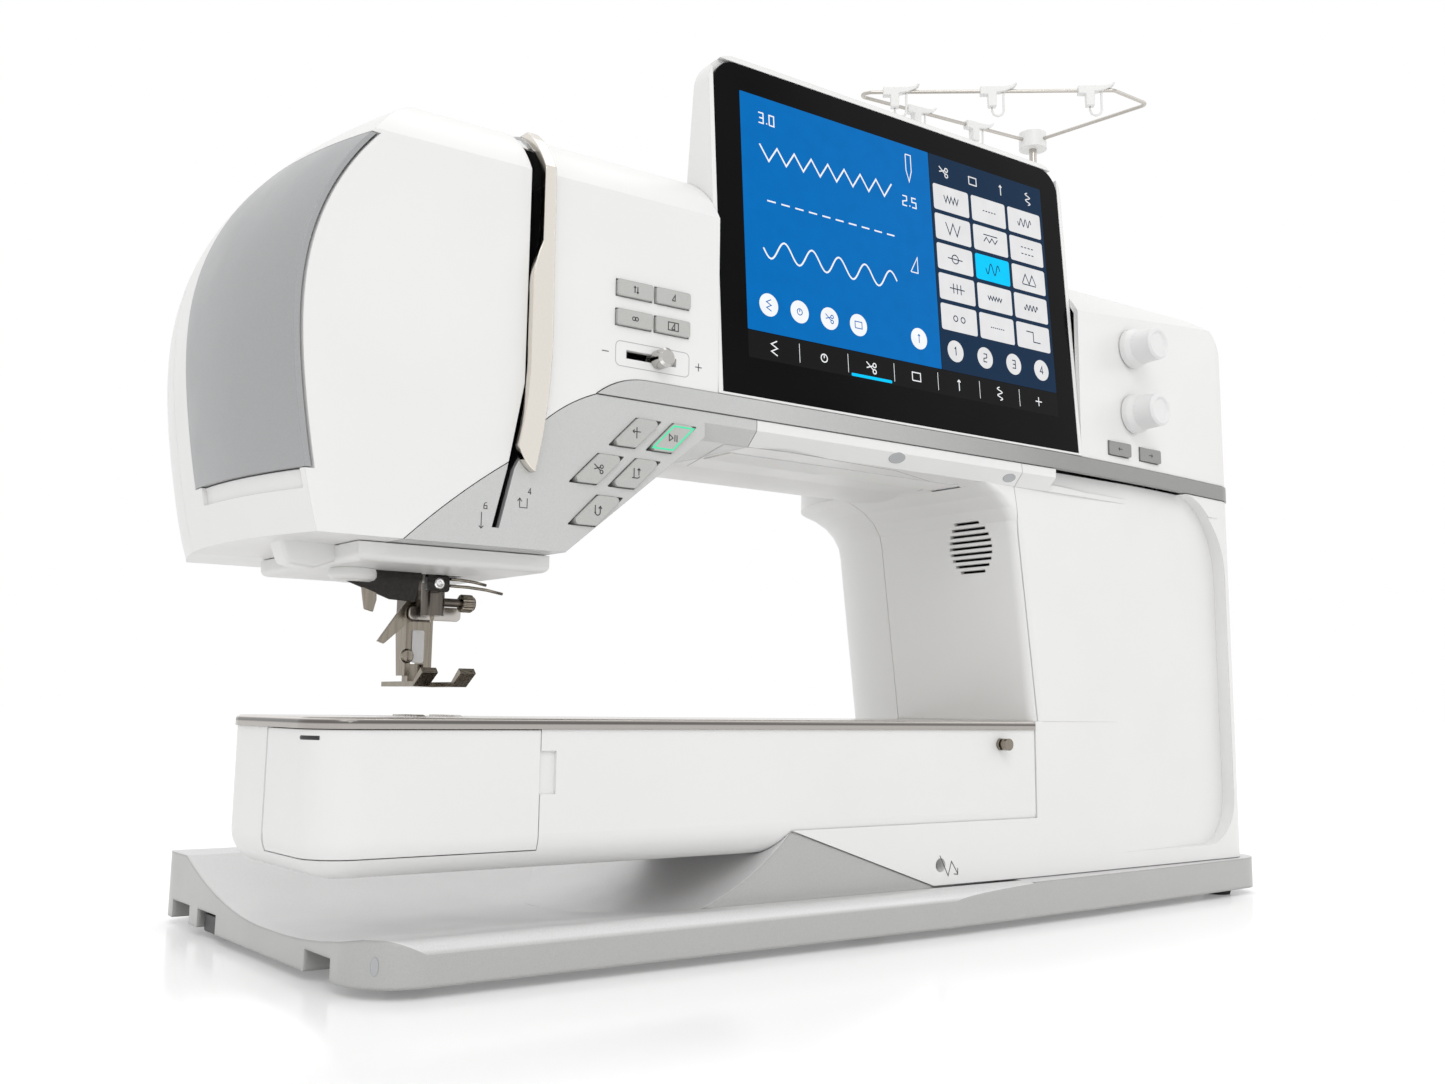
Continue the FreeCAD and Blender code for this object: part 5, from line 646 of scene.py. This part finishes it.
# Signs beside the slot: number and its place, icon with its place and size
SLOT_SIGNS = [
    ("4", (-215.2, 201.6), THREAD_TURN, (-217.6, 197.2, 2.6)),
    ("6", (-236.0, 193.6), turned_over(arrow_up(0.0, -1.0, 1.0)), (-237.0, 188.6, 3.4)),
]
# Signs beside the knobs: icon with its place and size
KNOB_SIGNS = [
    (laid_left([zigzag(6, 0.45)]), (167.5, 329.5, 3.2)),
    (laid_left(dashes(4)), (172.0, 290.0, 3.2)),
    (DOWN_ARROW, (205.5, 267.5, 2.4)),
]


def cover_marks():
    """Plain numbers, arrows and signs beside the slot, the slider and the knobs."""
    marks = Drawing(FACE)
    for points in SLIDER_SIGNS:
        marks.line(points, SIGN_STROKE)
    for number, corner, strokes, place in SLOT_SIGNS:
        marks.number(number, *corner, SLOT_NUMBER_HEIGHT, FINE_STROKE)
        marks.icon(strokes, *place, FINE_STROKE)
    marks.place("cover_marks", "mark_grey")
    slider = Drawing(FACE, high=SLIDER_RISE)
    slider.line(round_box(*SLIDER_FRAME, SLIDER_CORNER), SIGN_STROKE, closed=True)
    slider.place("slider_frame", "pale_line")
    signs = Drawing(RIGHT_FACE, *RIGHT_FACE_HEIGHTS)
    for strokes, place in KNOB_SIGNS:
        signs.icon(strokes, *place, SIGN_STROKE)
    signs.place("knob_signs", "mark_grey")


# Screen picture, in layers over the glass
TILT = math.radians(4.1)
GLASS = Sheet((18.8, -121.2, 260.6), up=(0, math.sin(TILT), math.cos(TILT)))
LAYER = 0.05
PICTURE_LEFT, PICTURE_RIGHT, PICTURE_LOW, PICTURE_HIGH = -113.8, 114.3, 21.0, 162.5
BAR_TOP, FIELD_RIGHT = 35.0, 20.0
SEAM, FIELD_CORNER = 0.4, 0.6
ICON_SIZE, ICON_STROKE, HEADER_STROKE = 3.8, 0.6, 0.7
DISC_STEPS = 32
MENU_ICONS = [[zigzag(4, 0.5)], [LOOP, [(0, 0), (0, 0.4)]], SCISSORS, SMALL_FRAME, arrow_up(0, -0.8, 0.8),
              [wave(2, 0.5)], PLUS]
MENU_GAP, MENU_LINE = 2.0, 0.3
CHOSEN_MENU, CHOSEN_LOW, CHOSEN_HIGH = 2, 0.6, 2.2
# Rows of the stitch preview: strokes, height, stroke width
PREVIEW_ROWS = [([zigzag(16, 0.09)], 132.0, 0.9), (dashes(10), 106.0, 0.8), ([wave(5, 0.11, 80)], 80.0, 0.9)]
PREVIEW_MIDDLE, PREVIEW_REACH = -56.0, 46.0
VIEW_NUMBERS = [("3.0", -102.0, 148.0), ("2.5", -2.0, 126.0)]
VIEW_NUMBER_HEIGHT, VIEW_NUMBER_STROKE = 5.6, 0.7
VIEW_ICONS = [(NEEDLE_FORM, (4.0, 149.0, 8.0)), (WEDGE, (4.0, 92.0, 6.0))]
BUTTON_PLACES, BUTTON_HEIGHT = (-100.0, -80.0, -60.0, -40.0, 4.0), 50.0
BUTTON_RADIUS, BUTTON_ICON, BUTTON_STROKE = 6.0, 3.0, 0.5
TILE_COLUMNS, TILE_ROWS, TILE_GAP, TILE_CORNER = 3, 5, 2.4, 1.4
TILES_LOW, TILES_HIGH, CHOSEN_TILE, STITCH_SHARE = 59.0, 145.0, 7, 0.38
HEADER_HEIGHT, HEADER_FIRST = 153.6, 2
STITCH_VALUES, VALUE_HEIGHT, VALUE_RADIUS = "1234", 47.4, 6.2
DIGIT_LEFT, DIGIT_DROP, DIGIT_HEIGHT = 1.2, 2.3, 4.6
STITCHES = [
    [zigzag(8, 0.35)], dashes(5), [wave(3, 0.4)],
    [zigzag(4, 0.6)], [zigzag(5, 0.25), [(0.5, -1), (0.5, 1)]], dashes(4, -0.35) + dashes(4, 0.35),
    [moved(LOOP, 0.8), [(0, -1), (0, 1)]], [wave(2, 0.55)],
    [[(-0.5, -1), (0.5, -0.5), (-0.5, 0), (0.5, 0.5), (-0.5, 1)], [(-0.6, -1), (-0.6, 1)]],
    [[(0, -1), (0, 1)], [(-0.5, -0.5), (0.5, -0.5)], [(-0.5, 0), (0.5, 0)], [(-0.5, 0.5), (0.5, 0.5)]],
    [zigzag(10, 0.2)], [wave(4, 0.3)],
    [moved(LOOP, 0.5, 0, -0.5), moved(LOOP, 0.5, 0, 0.5)], dashes(7),
    [[(-0.5, -1), (-0.5, 0), (0.5, 0), (0.5, 1)]],
]


def on_layer(layer):
    """Empty drawing in a layer of the picture; the first lies on the glass."""
    return Drawing(GLASS, (layer - 1) * LAYER, layer * LAYER)


def box_area(left, low, right, high, finish, name, layer, corner=FIELD_CORNER):
    """Flat field of the screen picture."""
    field = on_layer(layer)
    field.area(round_box(left, low, right, high, corner))
    return field.place(name, finish)


def screen_fields():
    """Sewing view beside the stitch panel, over a menu bar of the whole width."""
    low = BAR_TOP + SEAM
    box_area(PICTURE_LEFT, PICTURE_LOW, PICTURE_RIGHT, BAR_TOP, "screen_strip", "picture_menu", 1)
    box_area(PICTURE_LEFT, low, FIELD_RIGHT, PICTURE_HIGH, "screen_blue", "picture_view", 1)
    box_area(FIELD_RIGHT + SEAM, low, PICTURE_RIGHT, PICTURE_HIGH, "screen_navy", "picture_panel", 1)


def screen_menu():
    """Icons along the menu bar with thin lines between them, and a bright line under the chosen one."""
    light = on_layer(2)
    step = (PICTURE_RIGHT - PICTURE_LEFT) / len(MENU_ICONS)
    middle = (PICTURE_LOW + BAR_TOP) / 2
    for i, strokes in enumerate(MENU_ICONS):
        left = PICTURE_LEFT + step * i
        light.icon(strokes, left + step / 2, middle, ICON_SIZE, ICON_STROKE)
        if i:
            light.line([(left, PICTURE_LOW + MENU_GAP), (left, BAR_TOP - MENU_GAP)], MENU_LINE)
    light.place("menu_icons", "screen_white")
    chosen = PICTURE_LEFT + step * CHOSEN_MENU
    box_area(chosen + MENU_GAP, PICTURE_LOW + CHOSEN_LOW, chosen + step - MENU_GAP, PICTURE_LOW + CHOSEN_HIGH,
             "screen_cyan", "menu_chosen", 2)


def screen_view():
    """Own stitch preview in three rows, a needle, plain values and round buttons on the sewing view."""
    light = on_layer(2)
    for strokes, height, width in PREVIEW_ROWS:
        light.icon(laid_left(strokes), PREVIEW_MIDDLE, height, PREVIEW_REACH, width)
    for number, x, y in VIEW_NUMBERS:
        light.number(number, x, y, VIEW_NUMBER_HEIGHT, VIEW_NUMBER_STROKE)
    for strokes, place in VIEW_ICONS:
        light.icon(strokes, *place, ICON_STROKE)
    for x in BUTTON_PLACES:
        light.area(round_points(x, BUTTON_HEIGHT, BUTTON_RADIUS, steps=DISC_STEPS))
    light.place("view_lines", "screen_white")
    signs = on_layer(3)
    for x, strokes in zip(BUTTON_PLACES, MENU_ICONS):
        signs.icon(strokes, x, BUTTON_HEIGHT, BUTTON_ICON, BUTTON_STROKE)
    signs.place("view_signs", "screen_blue")


def screen_tiles():
    """Rows of stitch tiles, one of them chosen, under a row of header icons and over a row of values."""
    width = (PICTURE_RIGHT - FIELD_RIGHT - TILE_GAP * (TILE_COLUMNS + 1)) / TILE_COLUMNS
    height = (TILES_HIGH - TILES_LOW - TILE_GAP * (TILE_ROWS - 1)) / TILE_ROWS
    pale, ink = on_layer(2), on_layer(3)
    for i, strokes in enumerate(STITCHES):
        left = FIELD_RIGHT + TILE_GAP + (i % TILE_COLUMNS) * (width + TILE_GAP)
        low = TILES_HIGH - height - (i // TILE_COLUMNS) * (height + TILE_GAP)
        if i == CHOSEN_TILE:
            box_area(left, low, left + width, low + height, "screen_cyan", "tile_chosen", 2, TILE_CORNER)
        else:
            pale.area(round_box(left, low, left + width, low + height, TILE_CORNER))
        ink.icon(laid_left(strokes), left + width / 2, low + height / 2, height * STITCH_SHARE, ICON_STROKE)
    step = (PICTURE_RIGHT - FIELD_RIGHT) / len(STITCH_VALUES)
    for i, value in enumerate(STITCH_VALUES):
        middle = FIELD_RIGHT + step * (i + 0.5)
        pale.icon(MENU_ICONS[HEADER_FIRST + i], middle, HEADER_HEIGHT, ICON_SIZE, HEADER_STROKE)
        pale.area(round_points(middle, VALUE_HEIGHT, VALUE_RADIUS, steps=DISC_STEPS))
        ink.number(value, middle - DIGIT_LEFT, VALUE_HEIGHT - DIGIT_DROP, DIGIT_HEIGHT, ICON_STROKE)
    pale.place("tiles", "screen_tile")
    ink.place("tile_stitches", "screen_navy")


# Hooked clips of the thread stand, on two runs of its wire at shares of their length
WIRE_MAST, WIRE_NOSE = Vector((270.4, 12.6, 527.0)), Vector((244.4, -81.4, 527.0))
WIRE_LEFT, WIRE_HEEL = Vector((118.0, 22.9, 527.0)), Vector((114.0, 32.2, 527.0))
CLIP_RUNS = [(WIRE_NOSE, WIRE_LEFT, (0.1, 0.5, 0.9)), (WIRE_MAST, WIRE_HEEL, (0.35, 0.68))]
CLIP_FORM = [(-8, 2.8), (7.5, 2.8), (12.5, 3.4), (16.2, 5.6), (17.0, 4.8), (14, 1.6), (9, -0.6),
             (3.0, -1.6), (2.8, -11.4), (-2.8, -11.4), (-3.0, -3.0), (-8, -3.0)]
CLIP_HEIGHTS, CLIP_EDGE = (-2.7, 2.7), 0.8
CLIP_LOOP = [(0, -10), (0, -14.2), (1.1, -16.6), (3.9, -17.8), (6.7, -16.6), (7.8, -14.2), (7.8, -3.0),
             (8.3, -0.9), (10.2, 0)]
CLIP_LOOP_RADIUS = 0.8


def thread_clips():
    """Clips on the stand's wire, each with a finger and a hanging loop."""
    count = 0
    for start, end, shares in CLIP_RUNS:
        for share in shares:
            count += 1
            place = Sheet(start + (end - start) * share, right=start - end)
            plate("thread_clip_%d" % count, place, CLIP_FORM, CLIP_HEIGHTS, "white_plastic", CLIP_EDGE,
                  "thread_stand")
            loop = [place.spot(x, y, 0) / MM for x, y in CLIP_LOOP]
            sweep("thread_loop_%d" % count, loop, CLIP_LOOP_RADIUS, "white_plastic", "thread_stand")


# Small fittings. Windows on the arm's lower lip: place, half width
LIP_WINDOWS = [((4.5, -119.0, 242.8), 5.6), ((92.1, -117.8, 241.6), 4.8)]
LIP_FLATNESS, LIP_STEPS, LIP_HEIGHTS, LIP_EDGE = 0.62, 40, (-0.8, 0.35), 0.3
ARM_UNDERSIDE = Sheet((0, 0, 238.0), up=(0, -1, 0))
LAMP_SEAM = [(-76, 36), (-104, 112), (-66, 116), (12, 110), (62, 92), (81, 42), (58, 22)]
LAMP_SEAM_STROKE, LAMP_SEAM_HEIGHTS = 0.5, (-0.3, 0.08)
BASE_CORNER = Sheet((-275.9, -123.2, 12.8), right=(1, -1, 0))
BASE_WINDOW, BASE_WINDOW_HEIGHTS = (1.7, 3.6), (-0.5, 0.22)
KNEE_PLACE = Sheet((44.0, -114.4, 32.0))
KNEE_SIGN = [[(-1, 0.9), (-0.1, -0.7), (0.3, 0.4), (1, -0.6)], [(0.55, -0.6), (1, -0.65), (1.0, -0.15)]]
KNEE_SIZE, KNEE_STROKE = 6.5, 0.4
CUTTER_CENTRE, CUTTER_RADIUS = Vector((-279.5, -93.8, 98.6)), 19.3
CUTTER_ANGLES = [math.radians(184 + 4 * i) for i in range(9)]
CUTTER_ARC = [CUTTER_CENTRE + Vector((math.cos(a), math.sin(a), 0)) * CUTTER_RADIUS for a in CUTTER_ANGLES]
NEEDLE_SHEET = Sheet((0, -66.0, 0))
# Plates: sheet, outline, heights under and over the sheet, finish, edge radius, body
PLATES = {
    "threader_plate": (NEEDLE_SHEET, [(-277, 171), (-237, 171), (-240, 157), (-252, 157.5), (-274, 165)],
                       (-0.9, 0.9), "dark_mirror", 0.5, "machine"),
    "threader_finger": (NEEDLE_SHEET, [(-265.5, 165), (-258.4, 165), (-258.0, 157), (-259.4, 151.6),
                                       (-263.4, 152.6), (-264.4, 158)],
                        (-0.8, 0.8), "dark_nickel", 0.4, "machine"),
    "guide_block": (Sheet((0, -62.0, 0)), round_box(-233.0, 162.4, -222.0, 170.0, 1.5),
                    (-2.0, 2.0), "dark_mirror", 0.5, "machine"),
    "head_moulding": (Sheet((0, -74.0, 0)),
                      [(-309, 182), (-283, 182), (-281, 172), (-292, 167.5), (-304, 169)],
                      (-7.0, 7.0), "white_plastic", 2.0, "machine"),
    "foot_tab": (Sheet((0, -43.0, 0)), round_box(-232.0, 150.5, -206.0, 157.0, 2.4),
                 (-0.9, 0.9), "ground_steel", 0.4, "presser_bar"),
    "foot_inlay": (Sheet((0, -39.4, 0)), round_box(-228.0, 131.0, -222.0, 146.0, 1.0),
                   (-0.3, 0.3), "knob_plastic", 0.2, "presser_bar"),
    "slot_cap": (Sheet((-214.0, -101.9, 366.3), up=(0, 0.831, 0.557)), round_box(-4.2, -9.0, 4.2, 6.0, 1.2),
                 (-1.2, 0.0), "chrome", 0.3, "machine"),
    "port_socket": (Sheet((-281.0, 55.5, 6.5), right=(0, -1, 0)), round_box(-10.5, -3.6, 10.5, 4.6, 1.2),
                    (-6.0, 0.0), "black_plastic", 0.5, "machine"),
}
# Turned pieces: start of the axis, its direction, profile, finish, body, other values
TURNINGS = {
    "threader_button": ((-268.5, -64.0, 164.4), (0, 0, 1),
                        [(0, 7.0), (0.8, 9.2), (2.2, 10.2), (4.2, 10.2), (5.6, 9.6)],
                        "white_plastic", "machine", {}),
    "guide_eye": ((-227.5, -63.8, 166.0), (0, -1, 0),
                  [(0, 2.4), (0.9, 2.6), (1.5, 1.9), (1.2, 1.2), (0.4, 1.0)], "chrome", "machine", {}),
    "thumb_wheel": ((-211.4, -53.0, 158.5), (1, 0, 0), [(0, 3.4), (0.4, 4.0), (5.6, 4.0), (6.2, 3.4)],
                    "dark_nickel", "needle_bar", {"ribs": 16, "rib_depth": 0.22, "sides": 96}),
    "foot_screw": ((-230.5, -39.0, 134.0), (0, -1, 0), [(0, 3.3), (1.2, 3.4), (1.9, 2.7), (2.1, 1.2)],
                   "dark_nickel", "presser_bar", {}),
}
# Wires: points, radius, finish
WIRES = {
    "guide_wire_upper": ([(-223, -62, 168.6), (-217, -64, 168.3), (-211, -65, 167.6), (-204, -64, 166.6)],
                         0.7, "dark_nickel"),
    "guide_wire_lower": ([(-223, -63, 165.4), (-214, -66, 165.0), (-205, -66.6, 164.2), (-196, -65, 163.0)],
                         0.7, "dark_nickel"),
    "thread_cutter_slot": (CUTTER_ARC, 1.1, "black_plastic"),
}


def flat_marks():
    """Oval windows on the arm's lip, lamp field's seam, window at the base's corner and knee lever sign."""
    for i, (place, across) in enumerate(LIP_WINDOWS):
        oval = round_points(0, 0, across, across * LIP_FLATNESS, steps=LIP_STEPS)
        lip = Sheet(place, up=(0, -1, 1))
        plate("lip_window_%d" % (i + 1), lip, oval, LIP_HEIGHTS, "grey_lens", LIP_EDGE)
    under = Drawing(ARM_UNDERSIDE, *LAMP_SEAM_HEIGHTS)
    under.line(LAMP_SEAM, LAMP_SEAM_STROKE, closed=True)
    under.place("lamp_seam", "pale_line")
    window = Drawing(BASE_CORNER, *BASE_WINDOW_HEIGHTS)
    window.area(round_points(0, 0, *BASE_WINDOW, steps=DISC_STEPS))
    window.place("base_window", "grey_lens")
    sign = Drawing(KNEE_PLACE)
    sign.icon(KNEE_SIGN, 0, 0, KNEE_SIZE, KNEE_STROKE)
    sign.place("knee_sign", "mark_grey")


def fittings():
    """Small solid pieces round the needle, the foot, the slot and the base."""
    for name, row in PLATES.items():
        plate(name, *row)
    for name, (start, axis, profile, finish, body, more) in TURNINGS.items():
        lathe(name, start, axis, profile, finish, body, **more)
    for name, row in WIRES.items():
        sweep(name, *row)


key_marks()
cover_marks()
thread_clips()
screen_fields()
screen_menu()
screen_view()
screen_tiles()
flat_marks()
fittings()


# Stage, light and camera
WORLD_LIGHT = 0.87
FLOOR_SIZE = 40.0
FLOOR_COLOUR = (0.9, 0.9, 0.9, 1)
FLOOR_LIFT = 0.26
FLOOR_MIRROR, FLOOR_BLUR = 0.3, 0.15
MIDDLE = (0.0, 0.0, 0.22)
# Lamps: place, width and height, power
LAMPS = {
    "key_light": ((-1.1, -1.9, 1.9), (1.4, 1.4), 14.0),
    "fill_light": ((1.9, -1.3, 1.2), (1.2, 1.2), 3.0),
    "top_light": ((0.1, 0.3, 2.2), (1.8, 1.2), 6.0),
}
PHOTO_WIDTH, PHOTO_HEIGHT = 1445, 1084
CAMERA_PLACE = (-0.5134, -0.6594, 0.1124)
HEADING, PITCH, ROLL = (math.radians(angle) for angle in (36.747, 8.992, 0.711))
FOCAL_PIXELS = 1437.0
CENTRE_PIXEL = (722.0, 480.0)
SENSOR = 36.0
CLIP_START = 0.01


def camera_sees(tree):
    """One for rays that show a background: straight, mirrored or through glass."""
    path = add_node(tree, "ShaderNodeLightPath")
    seen = path.outputs["Is Camera Ray"]
    for kind in ("Is Glossy Ray", "Is Transmission Ray"):
        either = add_node(tree, "ShaderNodeMath")
        either.operation = "MAXIMUM"
        tree.links.new(seen, either.inputs[0])
        tree.links.new(path.outputs[kind], either.inputs[1])
        seen = either.outputs["Value"]
    return seen


def white_world():
    """White behind the object and an even soft light all round it."""
    world = bpy.data.worlds.new("studio")
    bpy.context.scene.world = world
    world.use_nodes = True
    tree = world.node_tree
    shown = tree.nodes["Background"]
    set_sockets(shown, Color=WHITE)
    light = add_node(tree, "ShaderNodeBackground", Color=WHITE, Strength=WORLD_LIGHT)
    mix = add_node(tree, "ShaderNodeMixShader")
    tree.links.new(camera_sees(tree), mix.inputs["Fac"])
    tree.links.new(light.outputs["Background"], mix.inputs[1])
    tree.links.new(shown.outputs["Background"], mix.inputs[2])
    tree.links.new(mix.outputs["Shader"], tree.nodes["World Output"].inputs["Surface"])


def floor_finish():
    """Pale finish that keeps the shadow and a faint mirror image, and meets the white behind it."""
    material = bpy.data.materials.new("floor")
    material.use_nodes = True
    tree = material.node_tree
    matt = add_node(tree, "ShaderNodeBsdfDiffuse", Color=FLOOR_COLOUR)
    glow = add_node(tree, "ShaderNodeEmission")
    lift = add_node(tree, "ShaderNodeMath")
    lift.operation = "MULTIPLY"
    lift.inputs[1].default_value = FLOOR_LIFT
    tree.links.new(camera_sees(tree), lift.inputs[0])
    tree.links.new(lift.outputs["Value"], glow.inputs["Strength"])
    both = add_node(tree, "ShaderNodeAddShader")
    tree.links.new(matt.outputs["BSDF"], both.inputs[0])
    tree.links.new(glow.outputs["Emission"], both.inputs[1])
    mirror = add_node(tree, "ShaderNodeBsdfGlossy", Color=WHITE, Roughness=FLOOR_BLUR)
    mix = add_node(tree, "ShaderNodeMixShader", Fac=FLOOR_MIRROR)
    tree.links.new(both.outputs["Shader"], mix.inputs[1])
    tree.links.new(mirror.outputs["BSDF"], mix.inputs[2])
    tree.links.new(mix.outputs["Shader"], tree.nodes["Material Output"].inputs["Surface"])
    return material


def floor():
    """Large flat floor under the feet."""
    half = FLOOR_SIZE / 2
    corners = [(-half, -half, 0), (half, -half, 0), (half, half, 0), (-half, half, 0)]
    mesh = bpy.data.meshes.new("floor")
    mesh.from_pydata(corners, [], [(0, 1, 2, 3)])
    mesh.materials.append(floor_finish())
    ground = bpy.data.objects.new("floor", mesh)
    bpy.context.scene.collection.objects.link(ground)


def soft_box(name, place, size, power):
    """Large soft lamp aimed at the middle of the object."""
    lamp = bpy.data.lights.new(name, "AREA")
    lamp.shape = "RECTANGLE"
    lamp.size, lamp.size_y = size
    lamp.energy = power
    holder = bpy.data.objects.new(name, lamp)
    bpy.context.scene.collection.objects.link(holder)
    way = Vector(MIDDLE) - Vector(place)
    holder.location = place
    holder.rotation_euler = way.to_track_quat("-Z", "Y").to_euler()


def photo_camera():
    """Camera at the photo's angle, from its heading, pitch and roll."""
    level_way = Vector((math.sin(HEADING), math.cos(HEADING), 0))
    ahead = level_way * math.cos(PITCH) + Vector((0, 0, math.sin(PITCH)))
    level = Vector((math.cos(HEADING), -math.sin(HEADING), 0))
    upward = level.cross(ahead)
    right = level * math.cos(ROLL) + upward * math.sin(ROLL)
    top = upward * math.cos(ROLL) - level * math.sin(ROLL)
    lens = bpy.data.cameras.new("photo_camera")
    lens.sensor_width = SENSOR
    lens.lens = FOCAL_PIXELS / PHOTO_WIDTH * SENSOR
    lens.shift_x = (PHOTO_WIDTH / 2 - CENTRE_PIXEL[0]) / PHOTO_WIDTH
    lens.shift_y = (CENTRE_PIXEL[1] - PHOTO_HEIGHT / 2) / PHOTO_WIDTH
    lens.clip_start = CLIP_START
    holder = bpy.data.objects.new("photo_camera", lens)
    bpy.context.scene.collection.objects.link(holder)
    turn = Matrix((right, top, -ahead)).transposed()
    holder.matrix_world = Matrix.Translation(CAMERA_PLACE) @ turn.to_4x4()
    bpy.context.scene.camera = holder


white_world()
floor()
for lamp_name, (lamp_place, lamp_size, lamp_power) in LAMPS.items():
    soft_box(lamp_name, lamp_place, lamp_size, lamp_power)
photo_camera()
bpy.context.scene.view_settings.view_transform = "Standard"
